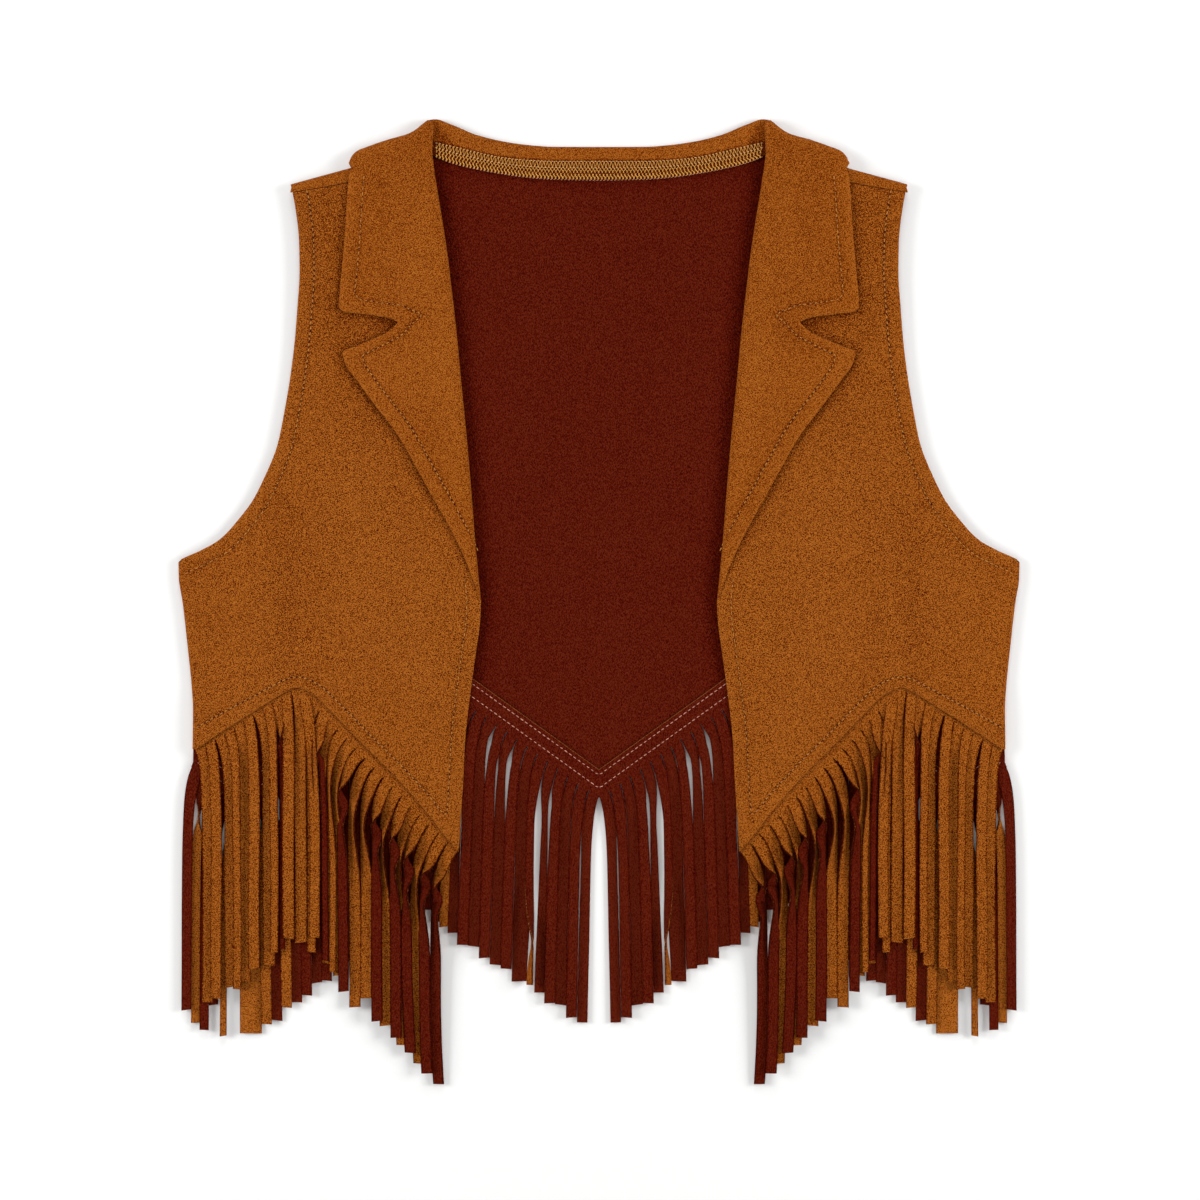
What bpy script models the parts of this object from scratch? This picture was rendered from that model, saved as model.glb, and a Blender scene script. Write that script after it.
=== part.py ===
"""A western vest with a notched collar and a cut fringe, laid flat on its back.

The cut is the same on both sides of the centre line, so every table below gives one half, as a distance
from the centre line (u) and a height up the garment (y), in millimetres. World X is u or -u, world Y is y
counted from the middle of the garment, and world Z is the height above the surface that it lies on.
"""

import math

import bpy
import numpy as np

MM = 0.001

# Cloth and layers. Faux suede is thin, and each layer rests a small gap above the one below.
CLOTH = 1.2
GAP = 0.3
STEP = CLOTH + GAP
HALF = CLOTH / 2

# The layers of cloth over each other, counted from the floor. The lapel's hidden leg takes layer 1 as well.
BACK_LAYER = 0
BACK_STRIP_LAYER = 1
FRONT_LAYER = 2
FRONT_STRIP_LAYER = 2
COLLAR_STAND_LAYER = 2
LAPEL_LAYER = 3

# The collar's hidden fall lies under the back, which lifts every layer above it by one step near the neck.
RISE_START = 118.0
RISE_END = 198.0

# The front lifts by one step over its fringe strip, between these shares of its height.
HEM_LIFT_FULL = 0.062
HEM_LIFT_END = 0.13

# Radii of the folds, measured to the middle of the cloth.
FOLD = STEP
WRAP_FOLD = 2 * STEP
FOLD_TURNS = 4
WRAP_TURNS = 6
QUARTER_TURNS = 3

# Armhole and side, from hem to shoulder: y, u.
SIDE_AND_ARMHOLE = [
    (-88.0, 217.6), (-57.9, 217.2), (-45.0, 218.1), (-21.0, 220.6), (0.0, 223.0), (12.7, 225.0),
    (21.6, 225.2), (23.2, 222.6), (27.2, 213.5), (33.0, 203.3), (43.7, 193.1), (54.4, 185.1),
    (65.1, 179.6), (84.2, 171.9), (102.6, 168.1), (121.0, 165.0), (139.5, 162.7), (157.9, 161.2),
    (176.4, 160.0), (191.7, 160.2), (211.7, 162.4), (224.0, 165.0)]
UNDERARM_Y = 21.6
UNDERARM_MARGIN = 0.5

# Front edge from the point at the hem to the break, then the roll line of the lapel to the neck: y, u.
FRONT_EDGE = [
    (-133.9, 75.1), (-98.0, 72.8), (-74.0, 71.6), (-57.9, 70.0), (-41.9, 67.9), (-25.8, 65.7),
    (-12.0, 63.8), (0.0, 63.2), (10.0, 64.1), (33.6, 66.3), (54.4, 67.9), (86.5, 70.6), (120.0, 73.9),
    (142.7, 76.0), (170.2, 79.1), (186.6, 81.1), (205.0, 83.9), (225.6, 87.2), (240.0, 89.0),
    (250.0, 89.6), (258.4, 88.0)]

# Front hem: u, y, from the point beside the front edge over the peak to the side seam.
FRONT_HEM = [
    (75.1, -133.9), (84.6, -122.0), (95.9, -107.8), (111.9, -90.2), (128.0, -74.0), (143.0, -58.6),
    (153.0, -49.2), (161.6, -45.8), (170.0, -49.6), (181.0, -56.4), (195.0, -65.2), (206.0, -72.4),
    (217.3, -80.3)]
FRONT_HEM_PEAK = (161.6, -44.4)

# Back hem along the lower row of stitches: u, y. The cloth ends a little below it.
BACK_HEM_CORNERS = [(0.0, -99.8), (95.8, -30.8), (190.5, -105.7), (217.6, -83.7)]
BACK_HEM_COLUMNS = 3
BACK_HEM_BELOW_ROW = 2.0

# Rows of a panel below the armhole, as shares of its height, and the room left above the last armhole row.
BACK_LOW_ROWS = [0.0, 0.09, 0.19, 0.28]
FRONT_LOW_ROWS = [0.0, HEM_LIFT_FULL, HEM_LIFT_END, 0.21]
TOP_ROW_ROOM = 6.0

# Where the front's inner edge draws back from the front edge to the inside of the lapel's fold.
DRAW_BACK_Y = -14.0
DRAW_BACK_LENGTH = 18.0

# Shoulder: the fold at the top of the outline and the seam a little in front of it: u, y.
SHOULDER_FOLD = [(91.5, 243.8), (133.5, 231.9), (164.6, 223.4)]
SHOULDER_SEAM = [(90.4, 236.3), (106.5, 232.1), (134.3, 224.0), (164.2, 218.6)]
SHOULDER_OUTWARD = (0.262, 0.965)
SHOULDER_WRAP_FROM = 97.0
SHOULDER_WRAP_START = 98.0
SHOULDER_WRAP_LEAN = 0.6
SHOULDER_OUTER_Y = 220.0

# Back neck: u, fold at the top of the stand, seam, lower edge of the allowance, hidden edge of the fall.
BACK_NECK = [
    (0.0, 243.5, 235.7, 225.7, 203.0),
    (24.6, 243.6, 235.7, 226.2, 203.4),
    (38.2, 244.6, 236.3, 227.2, 204.0),
    (51.9, 246.6, 237.7, 229.1, 204.6),
    (65.5, 250.0, 240.5, 231.6, 205.2),
    (79.2, 255.6, 243.8, 235.0, 206.0),
    (87.8, 258.4, 245.6, 238.4, 206.6)]

# Lapel and collar front: y on the roll line, then u, y on the outer edge, from the break up over the
# lapel's tip, the notch and the collar's corner.
LAPEL = [
    (10.0, 67.2, 12.0), (24.0, 73.4, 27.2), (38.0, 80.5, 41.2), (54.0, 89.0, 56.5), (70.0, 97.5, 72.0),
    (86.0, 107.0, 88.6), (102.0, 120.0, 105.8), (116.0, 129.7, 119.0), (126.0, 135.4, 127.2),
    (133.0, 136.8, 133.3), (137.0, 129.7, 136.4), (140.5, 121.6, 140.0), (144.0, 113.4, 143.6),
    (149.0, 106.7, 149.4), (152.0, 113.4, 151.8), (154.5, 125.6, 153.8), (157.0, 136.6, 155.2),
    (160.0, 138.7, 157.6), (178.0, 137.0, 178.6), (196.0, 135.4, 196.7), (212.0, 134.6, 210.0),
    (226.0, 134.0, 220.0), (240.0, 133.4, 227.0)]
LAPEL_LEG_WIDTH = 8.0
LAPEL_LEG_TOP = 227.0

# The collar over the shoulder: share of the width, the fold's u, y, then the hidden edge's u, y.
COLLAR_WRAP = [
    (0.00, 91.8, 258.2, 89.6, 206.8),
    (0.25, 101.2, 250.8, 98.0, 209.0),
    (0.50, 113.4, 247.1, 109.5, 212.5),
    (0.75, 124.3, 243.3, 120.5, 217.5),
    (1.00, 132.8, 236.6, 129.4, 228.0)]
COLLAR_OUTWARD = (0.40, 0.917)

# Fringe: one strip of cloth along each hem, cut into strands.
SLIT = 0.5
STRAND_RISE = HALF + GAP
STRIP_SIDE_U = 215.6
BACK_STRIP_SIDE_U = (213.6, 218.3)
FRONT_STRIP_END_U = 76.0
BACK_STRIP_ABOVE = 8.1
BACK_STRIP_BELOW = 4.1
FRONT_STRIP_ABOVE = 9.0
FRONT_STRIP_BELOW = 3.5
ROOT_PULL = 9.0
ROOT_LEAN = 0.35
PEAK_CUT = 3.6
SETTLED = 0.5
STRAND_WAVE = 2.4
BACK_STRAND_WIDTH = 6.0
BACK_STRANDS = (17, 1, 17, 5)
FRONT_STRANDS = (10, 1, 17)

# Where a strand's sections lie along its path, how wide they are, and how far it has come to its level.
BACK_SECTIONS = [(0.0, 1.0, 0.0), (0.10, 0.68, 0.75), (0.22, 0.66, 1.0), (0.58, 1.0, 1.0), (1.0, 0.95, 1.0)]
FRONT_SECTIONS = [
    (0.0, 1.0, 0.0), (0.10, 0.68, 0.75), (0.22, 0.66, 1.0), (0.50, 1.0, 1.0), (0.76, 1.0, 1.0),
    (1.0, 0.95, 1.0)]

# Back strands: drop from the slit to the tip, and how far a tip lies outside its root: root u, shift.
BACK_DROP = 122.5
BACK_DROP_SPREAD = 1.6
BACK_TIP_SHIFT = [
    (2.7, 6.2), (68.0, 10.7), (90.0, 6.4), (98.0, 1.6), (124.0, -4.0), (187.0, -4.6), (193.0, 6.8),
    (216.0, 6.2)]

# Back strands at the side seam, from the last point of the zigzag outwards: tip u, tip y, width.
BACK_SIDE_TIPS = [
    (201.2, -232.4, 3.6), (206.6, -216.0, 5.0), (211.4, -229.2, 5.0), (216.0, -225.5, 5.2),
    (220.9, -218.5, 5.4)]

# Front strands, from the side seam to the point: tip u, tip y, width, level, sag of the tip.
FRONT_TIPS = [
    (209.2, -214.1, 5.6, 0, 0.0), (204.6, -212.0, 5.8, 1, 0.0), (197.2, -206.1, 6.0, 0, 0.0),
    (193.4, -207.0, 4.4, 1, 0.0), (189.2, -202.9, 6.2, 0, 0.0), (184.3, -196.0, 6.0, 1, 0.0),
    (176.6, -194.3, 6.2, 0, 0.0), (173.6, -187.4, 4.4, 1, 0.0), (169.4, -185.8, 3.4, 0, 0.0),
    (165.9, -179.9, 6.2, 1, 0.0), (159.4, -182.1, 6.2, 0, 0.0), (151.9, -179.4, 5.6, 1, 0.0),
    (153.6, -187.4, 4.4, 0, 0.0), (146.2, -191.7, 3.4, 1, 0.0), (145.6, -193.4, 4.6, 0, 0.0),
    (142.2, -197.8, 3.4, 1, 0.0), (139.4, -199.8, 5.6, 0, 0.0), (136.6, -208.2, 5.6, 1, 0.0),
    (130.5, -216.8, 6.0, 0, 0.0), (124.3, -212.0, 6.2, 1, 0.0), (118.6, -224.0, 6.0, 0, 0.0),
    (114.4, -226.7, 6.0, 1, 0.0), (108.2, -232.8, 6.0, 0, 0.0), (105.4, -237.1, 5.6, 1, 0.0),
    (101.0, -241.1, 6.0, 0, 2.4), (96.4, -247.3, 6.0, 1, 1.0), (91.8, -252.1, 6.0, 0, 2.4),
    (85.9, -258.3, 6.0, 1, 1.0)]

SUEDE = (0.289, 0.074, 0.0095, 1.0)
REVERSE = (0.097, 0.0092, 0.0028, 1.0)


def layer(number):
    """Height of the middle of a layer of cloth."""
    return HALF + number * STEP


def smooth(share):
    """Ease a share from 0 to 1."""
    share = min(1.0, max(0.0, share))
    return share * share * (3 - 2 * share)


def rise(y):
    """How far the layers lift over the collar's hidden fall."""
    return STEP * smooth((y - RISE_START) / (RISE_END - RISE_START))


def read(table, value, column=1):
    """Read a table between its rows, by its first column."""
    return float(np.interp(value, [row[0] for row in table], [row[column] for row in table]))


def outer_u(y):
    """Half width of the garment at the side and armhole."""
    return read(SIDE_AND_ARMHOLE, y)


def roll_u(y):
    """Front edge and roll line."""
    return read(FRONT_EDGE, y)


def arc(start, outward, radius, z_from, turns=FOLD_TURNS):
    """Points of a half turn that starts level at one height and ends level 2 radii lower or higher."""
    points = []
    sign = 1 if radius > 0 else -1
    size = abs(radius)
    for number in range(turns + 1):
        angle = math.pi * number / turns
        reach = size * math.sin(angle)
        z = z_from - sign * size * (1 - math.cos(angle))
        points.append((start[0] + outward[0] * reach, start[1] + outward[1] * reach, z))
    return points


def material(name, colour):
    """A matt cloth."""
    made = bpy.data.materials.new(name)
    made.use_nodes = True
    shader = made.node_tree.nodes["Principled BSDF"]
    shader.inputs["Base Color"].default_value = colour
    shader.inputs["Roughness"].default_value = 0.9
    shader.inputs["Metallic"].default_value = 0.0
    return made


def add_object(name, vertices, faces, colour, side=1):
    """Make a mesh object from points in millimetres, turned over for the left side of the picture."""
    mesh = bpy.data.meshes.new(name)
    placed = [(side * u * MM, y * MM, z * MM) for u, y, z in vertices]
    ordered = [face if side > 0 else tuple(reversed(face)) for face in faces]
    mesh.from_pydata(placed, [], ordered)
    mesh.materials.append(material(name, colour))
    made = bpy.data.objects.new(name, mesh)
    parts.objects.link(made)
    return made


def mirror(made):
    """Complete a piece that is open at the centre line."""
    modifier = made.modifiers.new("other half", "MIRROR")
    modifier.use_axis = (True, False, False)
    modifier.use_clip = True
    modifier.merge_threshold = 0.00002
    return made


def thicken(made):
    """Give a sheet the thickness of the cloth, half on each side."""
    modifier = made.modifiers.new("cloth", "SOLIDIFY")
    modifier.thickness = CLOTH * MM
    modifier.offset = 0
    modifier.use_even_offset = True
    modifier.use_quality_normals = True
    return made


def sheet_from_grid(grid):
    """Points and faces of a grid, whose rows may hold None where the cloth is cut away."""
    numbers = {}
    vertices = []
    for i, row in enumerate(grid):
        for j, point in enumerate(row):
            if point is not None:
                numbers[i, j] = len(vertices)
                vertices.append(point)
    faces = []
    for i in range(len(grid) - 1):
        for j in range(len(grid[0]) - 1):
            corners = [(i, j), (i, j + 1), (i + 1, j + 1), (i + 1, j)]
            if all(corner in numbers for corner in corners):
                faces.append(tuple(numbers[corner] for corner in corners))
    return vertices, faces


def shares_of_side(y_low, y_high, extra):
    """Heights of a panel's rows as shares, with one at each point of the armhole."""
    inside = [y for y, u in SIDE_AND_ARMHOLE if UNDERARM_Y <= y < y_high - TOP_ROW_ROOM]
    shares = [(y - y_low) / (y_high - y_low) for y in inside]
    return sorted(extra + shares + [1.0])


def panel_points(hem, top, inner, outer, shares):
    """Rows of plan points between a hem and a top edge, and between an inner and an outer edge."""
    columns = []
    for u, y in hem:
        across = (u - inner(y)) / (outer(y) - inner(y))
        u_top = u
        for attempt in range(4):
            y_top = top(u_top)
            u_top = inner(y_top) + across * (outer(y_top) - inner(y_top))
        columns.append((across, y, top(u_top)))
    rows = []
    for share in shares:
        row = []
        for across, y_hem, y_top in columns:
            y = y_hem + share * (y_top - y_hem)
            row.append((inner(y) + across * (outer(y) - inner(y)), y))
        rows.append(row)
    return rows


def back_hem_points():
    """Points of the back panel's zigzag hem edge."""
    points = []
    for (u_a, y_a), (u_b, y_b) in zip(BACK_HEM_CORNERS, BACK_HEM_CORNERS[1:]):
        steps = BACK_HEM_COLUMNS if u_b - u_a > 50 else 1
        for number in range(steps):
            share = number / steps
            points.append((u_a + share * (u_b - u_a), y_a + share * (y_b - y_a) - BACK_HEM_BELOW_ROW))
    u_end, y_end = BACK_HEM_CORNERS[-1]
    points.append((u_end, y_end - BACK_HEM_BELOW_ROW))
    return points


def back_top(u):
    """Upper edge of the back's flat part: its neck edge, then the start of the shoulder fold."""
    base = [(row[0], row[2] - GAP) for row in BACK_NECK[:-1]]
    inset = FOLD + HALF
    wrap_start = (SHOULDER_WRAP_START, read(SHOULDER_FOLD, SHOULDER_WRAP_START))
    for u_fold, y_fold in [wrap_start] + SHOULDER_FOLD[1:]:
        base.append((u_fold - SHOULDER_OUTWARD[0] * inset, y_fold - SHOULDER_OUTWARD[1] * inset))
    return read(base, u)


def make_back_panel():
    """Back panel: flat, with a strip that wraps over each shoulder to the seam."""
    hem = back_hem_points()
    y_low = hem[-1][1]
    shares = shares_of_side(y_low, back_top(outer_u(SHOULDER_OUTER_Y)), BACK_LOW_ROWS)
    rows = panel_points(hem, back_top, lambda y: 0.0, outer_u, shares)
    grid = [[(u, y, layer(BACK_LAYER) + rise(y)) for u, y in row] for row in rows]
    folded = [[] for number in range(FOLD_TURNS + 1)]
    for u, y, z in grid[-1]:
        if u < SHOULDER_WRAP_FROM:
            for row in folded:
                row.append(None)
            continue
        turn = arc((u, y), SHOULDER_OUTWARD, -FOLD, z)
        for row, point in zip(folded[:-1], turn[1:]):
            row.append(point)
        u_seam = u + SHOULDER_WRAP_LEAN
        folded[-1].append((u_seam, read(SHOULDER_SEAM, u_seam) + GAP / 2, turn[-1][2]))
    vertices, faces = sheet_from_grid(grid + folded)
    thicken(mirror(add_object("back_panel", vertices, faces, REVERSE)))


def front_top(u):
    """Shoulder seam of the front."""
    return read(SHOULDER_SEAM, u) - GAP / 2


def front_inner(y):
    """Inner edge of the front, which lies inside the lapel's fold above the break."""
    return roll_u(y) + (FOLD + HALF + GAP) * smooth((y - DRAW_BACK_Y) / DRAW_BACK_LENGTH)


def front_outer(y):
    """Where the front starts to turn down at the side seam, or its armhole edge."""
    return outer_u(y) - (FOLD + HALF if y < UNDERARM_Y + UNDERARM_MARGIN else 0.0)


def make_front(name, side):
    """Front: over the back, lifted over its fringe strip, turned down at the side seam."""
    hem = FRONT_HEM[:-1] + [(front_outer(FRONT_HEM[-1][1]), FRONT_HEM[-1][1])]
    shares = shares_of_side(hem[-1][1], front_top(outer_u(SHOULDER_OUTER_Y)), FRONT_LOW_ROWS)
    rows = panel_points(hem, front_top, front_inner, front_outer, shares)
    grid = []
    for share, row in zip(shares, rows):
        lift = STEP * (1 - smooth((share - HEM_LIFT_FULL) / (HEM_LIFT_END - HEM_LIFT_FULL)))
        points = [(u, y, layer(FRONT_LAYER) + rise(y) + lift) for u, y in row]
        u, y, z = points[-1]
        if y < UNDERARM_Y + UNDERARM_MARGIN:
            quarter = arc((u, y), (1.0, 0.0), FOLD, z, QUARTER_TURNS * 2)[1:QUARTER_TURNS + 1]
            points += quarter + [(u + FOLD, y, layer(BACK_LAYER) + HALF + GAP)]
        else:
            points += [None] * (QUARTER_TURNS + 1)
        grid.append(points)
    vertices, faces = sheet_from_grid(grid)
    thicken(add_object(name, vertices, faces, SUEDE, side))


def make_lapel(name, side):
    """Lapel and collar front: folded at the roll line and wrapped over the shoulder."""
    grid = []
    inset = FOLD + HALF
    wrap_inset = WRAP_FOLD + HALF
    shares = [row[0] for row in COLLAR_WRAP]
    last_row = [(u - COLLAR_OUTWARD[0] * wrap_inset, y - COLLAR_OUTWARD[1] * wrap_inset)
                for share, u, y, u_end, y_end in COLLAR_WRAP]
    rows = []
    for y_roll, u_edge, y_edge in LAPEL:
        u_start = roll_u(y_roll) + inset
        rows.append([(u_start + s * (u_edge - u_start), y_roll + s * (y_edge - y_roll)) for s in shares])
    rows.append(last_row)
    for row in rows:
        start = row[0]
        z_top = layer(LAPEL_LAYER) + rise(start[1])
        turn = arc(start, (-1.0, 0.0), FOLD, z_top)
        leg_end = (start[0] + LAPEL_LEG_WIDTH - inset, start[1], turn[-1][2])
        hidden = [leg_end] + turn[:0:-1]
        if start[1] > LAPEL_LEG_TOP:
            hidden[:FOLD_TURNS // 2 + 1] = [None] * (FOLD_TURNS // 2 + 1)
        grid.append(hidden + [(u, y, layer(LAPEL_LAYER) + rise(y)) for u, y in row])
    blank = [None] * (FOLD_TURNS + 1)
    z_top = layer(LAPEL_LAYER) + STEP
    turns = [arc(point, COLLAR_OUTWARD, WRAP_FOLD, z_top, WRAP_TURNS) for point in last_row]
    for number in range(1, WRAP_TURNS + 1):
        grid.append(blank + [turn[number] for turn in turns])
    z_low = turns[0][-1][2]
    for share in (0.5, 1.0):
        grid.append(blank + [
            (u + share * (row[3] - u), y + share * (row[4] - y), z_low)
            for (u, y), row in zip(last_row, COLLAR_WRAP)])
    vertices, faces = sheet_from_grid(grid)
    thicken(add_object(name, vertices, faces, SUEDE, side))


def make_collar_back():
    """Collar at the back neck: allowance and stand in front, folded over to a hidden fall behind."""
    columns = []
    inset = FOLD + HALF
    z_top = layer(COLLAR_STAND_LAYER)
    for number, (u, y_fold, y_seam, y_low, y_fall) in enumerate(BACK_NECK):
        before = BACK_NECK[max(0, number - 1)]
        after = BACK_NECK[min(len(BACK_NECK) - 1, number + 1)]
        slope = (after[1] - before[1]) / (after[0] - before[0]) if number else 0.0
        length = math.hypot(1, slope)
        outward = (-slope / length, 1 / length)
        start = (u - outward[0] * inset, y_fold - outward[1] * inset)
        column = [(u, y_low, z_top), (u, y_seam, z_top)]
        column += arc(start, outward, FOLD, z_top)
        z_fall = column[-1][2]
        column += [(u, (start[1] + y_fall) / 2, z_fall), (u, y_fall, z_fall)]
        columns.append(column)
    grid = [list(row) for row in zip(*columns)]
    vertices, faces = sheet_from_grid(grid)
    thicken(mirror(add_object("collar_back", vertices, faces, SUEDE)))


def offset_line(corners, distance, u_start, u_end):
    """A line beside a zigzag, met at its corners and cut off at two distances from the centre line."""
    lines = []
    for (u_a, y_a), (u_b, y_b) in zip(corners, corners[1:]):
        slope = (y_b - y_a) / (u_b - u_a)
        lines.append((slope, y_a - slope * u_a + distance * math.hypot(1, slope)))
    points = [(u_start, lines[0][0] * u_start + lines[0][1])]
    for (slope_a, base_a), (slope_b, base_b) in zip(lines, lines[1:]):
        u = (base_b - base_a) / (slope_a - slope_b)
        points.append((u, slope_a * u + base_a))
    points.append((u_end, lines[-1][0] * u_end + lines[-1][1]))
    return points


def between(a, b, share):
    """A point on the way from a to b."""
    return (a[0] + share * (b[0] - a[0]), a[1] + share * (b[1] - a[1]))


def cut_peak(line):
    """Replace the first inner corner, where the hem peaks, by a short level stretch."""
    before, peak, after = line[:3]
    first = between(peak, before, PEAK_CUT / math.dist(peak, before))
    second = between(peak, after, PEAK_CUT / math.dist(peak, after))
    return [before, first, second] + line[2:]


def back_strip_lines():
    """Upper and lower edge of the back's fringe strip, from the centre line to the side."""
    high = offset_line(BACK_HEM_CORNERS, BACK_STRIP_ABOVE, 0.0, BACK_STRIP_SIDE_U[0])
    low = offset_line(BACK_HEM_CORNERS, -BACK_STRIP_BELOW, 0.0, BACK_STRIP_SIDE_U[1])
    return cut_peak(high), cut_peak(low)


def front_strip_lines():
    """Upper and lower edge of a front's fringe strip, from the side to the point."""
    corners = [FRONT_HEM[-1], FRONT_HEM_PEAK, FRONT_HEM[0]]
    high = offset_line(corners, FRONT_STRIP_ABOVE, STRIP_SIDE_U, FRONT_STRIP_END_U)
    low = offset_line(corners, -FRONT_STRIP_BELOW, STRIP_SIDE_U, FRONT_STRIP_END_U)
    return cut_peak(high), cut_peak(low)


def bezier(points, s):
    """Point and direction on a cubic curve."""
    p = np.array(points)
    weights = np.array([(1 - s) ** 3, 3 * s * (1 - s) ** 2, 3 * s * s * (1 - s), s ** 3])
    slopes = np.array([-3 * (1 - s) ** 2, 3 * (1 - s) * (1 - 3 * s), 3 * s * (2 - 3 * s), 3 * s * s])
    direction = slopes @ p
    return weights @ p, direction / np.linalg.norm(direction)


def strand_path(root, down, tip):
    """A strand leaves the strip square to it, then hangs towards its tip."""
    shift = tip[0] - root[0]
    sideways = min(max(down[0] * ROOT_PULL, min(0.0, shift)), max(0.0, shift))
    pulled = (root[0] + sideways, root[1] + down[1] * ROOT_PULL)
    lower = (tip[0] + ROOT_LEAN * (root[0] - tip[0]), (tip[1] + root[1]) / 2)
    return [root, pulled, lower, tip]


def strand_sections(root_left, root_right, tip, width, z_strip, z_level, sag, sections):
    """Cross-sections of a strand, each four points, with the first one on the strip."""
    left = np.array(root_left)
    right = np.array(root_right)
    along = (right - left) / np.linalg.norm(right - left)
    down = np.array((along[1], -along[0]))
    if down[1] > 0:
        down = -down
    turn = 1.0 if along[0] * -down[1] - along[1] * -down[0] > 0 else -1.0
    root = tuple((left + right) / 2)
    path = strand_path(root, down, tip)
    root_width = np.linalg.norm(right - left)
    made = []
    for s, width_share, level_share in sections:
        point, direction = bezier(path, s)
        ease = smooth(s / SETTLED)
        here = (root_width * (1 - ease) + width * ease) * width_share / 2
        across = np.array((-direction[1], direction[0])) * turn
        z = z_strip + (z_level - z_strip) * level_share
        if s == 1.0:
            z -= sag
        a = point - across * here
        b = point + across * here
        made.append([(a[0], a[1], z + HALF), (b[0], b[1], z + HALF), (b[0], b[1], z - HALF),
                     (a[0], a[1], z - HALF)])
    return made


class Comb:
    """A strip with strands, built as one closed skin."""

    def __init__(self, z_strip):
        self.z = z_strip
        self.vertices = []
        self.faces = []
        self.previous = None

    def add(self, point, z):
        self.vertices.append((point[0], point[1], z))
        return len(self.vertices) - 1

    def station(self, high, low, strand=None):
        """Add a cross-section of the strip, and the cell between it and the one before."""
        now = [self.add(high, self.z + HALF), self.add(low, self.z + HALF),
               self.add(low, self.z - HALF), self.add(high, self.z - HALF)]
        if self.previous:
            old = self.previous
            self.faces.append((old[0], old[1], now[1], now[0]))
            self.faces.append((old[2], old[3], now[3], now[2]))
            self.faces.append((old[3], old[0], now[0], now[3]))
            if strand:
                self.grow([old[1], now[1], now[2], old[2]], strand)
            else:
                self.faces.append((old[1], old[2], now[2], now[1]))
        self.previous = now

    def grow(self, ring, strand):
        """Loft a strand from the open cell in the strip's lower edge."""
        for section in strand[1:]:
            new = [self.add(point[:2], point[2]) for point in section]
            for k in range(4):
                n = (k + 1) % 4
                self.faces.append((ring[k], new[k], new[n], ring[n]))
            ring = new
        self.faces.append(tuple(reversed(ring)))

    def close(self):
        """Close the end at the latest station."""
        self.faces.append(tuple(self.previous))


def comb_cells(high, low, counts):
    """Go along a strip: pairs of points on its two edges, and the number of the strand that ends there."""
    number = 0
    yield high[0], low[0], None
    for k, count in enumerate(counts):
        slit_share = SLIT * count / math.dist(low[k], low[k + 1]) / 2
        for cell in range(count):
            a = (cell + slit_share) / count
            b = (cell + 1 - slit_share) / count
            yield between(high[k], high[k + 1], a), between(low[k], low[k + 1], a), None
            yield between(high[k], high[k + 1], b), between(low[k], low[k + 1], b), number
            number += 1
        yield high[k + 1], low[k + 1], None


def build_comb(high, low, counts, z_strip, tip_of, sections, closed_start):
    """Strip and strands, from the points on the strip's two edges and the strands on each stretch."""
    comb = Comb(z_strip)
    before = low[0]
    for high_point, low_point, number in comb_cells(high, low, counts):
        strand = None
        if number is not None:
            tip, width, level, sag = tip_of(number, between(before, low_point, 0.5))
            z_level = STRAND_RISE + level * STEP
            strand = strand_sections(before, low_point, tip, width, z_strip, z_level, sag, sections)
        comb.station(high_point, low_point, strand)
        if len(comb.vertices) == 4 and closed_start:
            comb.faces.append(tuple(reversed(comb.previous)))
        before = low_point
    comb.close()
    return comb


def back_tip(number, root):
    """Tip, width, level and sag of a back strand."""
    beside_seam = number - sum(BACK_STRANDS[:-1])
    if beside_seam >= 0:
        u, y, width = BACK_SIDE_TIPS[beside_seam]
        return (u, y), width, number % 2, 0.0
    spread = BACK_DROP_SPREAD * math.sin(number * STRAND_WAVE)
    tip = (root[0] + read(BACK_TIP_SHIFT, root[0]), root[1] - BACK_DROP - spread)
    return tip, BACK_STRAND_WIDTH, number % 2, 0.0


def front_tip(number, root):
    """Tip, width, level and sag of a front strand."""
    u, y, width, level, sag = FRONT_TIPS[number]
    return (u, y), width, level + 2, sag


def make_fringe_back():
    """Fringe on the inside of the back hem."""
    high, low = back_strip_lines()
    z_strip = layer(BACK_STRIP_LAYER)
    comb = build_comb(high, low, BACK_STRANDS, z_strip, back_tip, BACK_SECTIONS, False)
    mirror(add_object("fringe_back", comb.vertices, comb.faces, REVERSE))


def make_fringe_front(name, side):
    """Fringe under the hem of a front, from the side seam to the point."""
    high, low = front_strip_lines()
    z_strip = layer(FRONT_STRIP_LAYER)
    comb = build_comb(high, low, FRONT_STRANDS, z_strip, front_tip, FRONT_SECTIONS, True)
    add_object(name, comb.vertices, [tuple(reversed(face)) for face in comb.faces], SUEDE, side)


for old in list(bpy.data.objects):
    bpy.data.objects.remove(old, do_unlink=True)
parts = bpy.data.collections.new("western_vest")
bpy.context.scene.collection.children.link(parts)

make_back_panel()
make_fringe_back()
make_collar_back()
for side_name, side_sign in (("left", -1), ("right", 1)):
    make_front("front_" + side_name, side_sign)
    make_lapel("lapel_" + side_name, side_sign)
    make_fringe_front("fringe_front_" + side_name, side_sign)
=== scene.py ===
# %% [markdown]
# # A fringed western vest, laid flat
#
# The real vest is cut from thin faux suede: a back panel, two fronts with pointed hems, a notched collar, and
# a long fringe sewn along the whole hem. It lies on its back, so every piece is a low stack of cloth a few
# millimetres high. A plain model of it is loaded first, and each of its solids is then dressed with a finer
# one. The tables are in millimetres and become metres once, at the mesh, which keeps the numbers readable.

# %% Load the plain model and remember its box
import math

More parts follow.
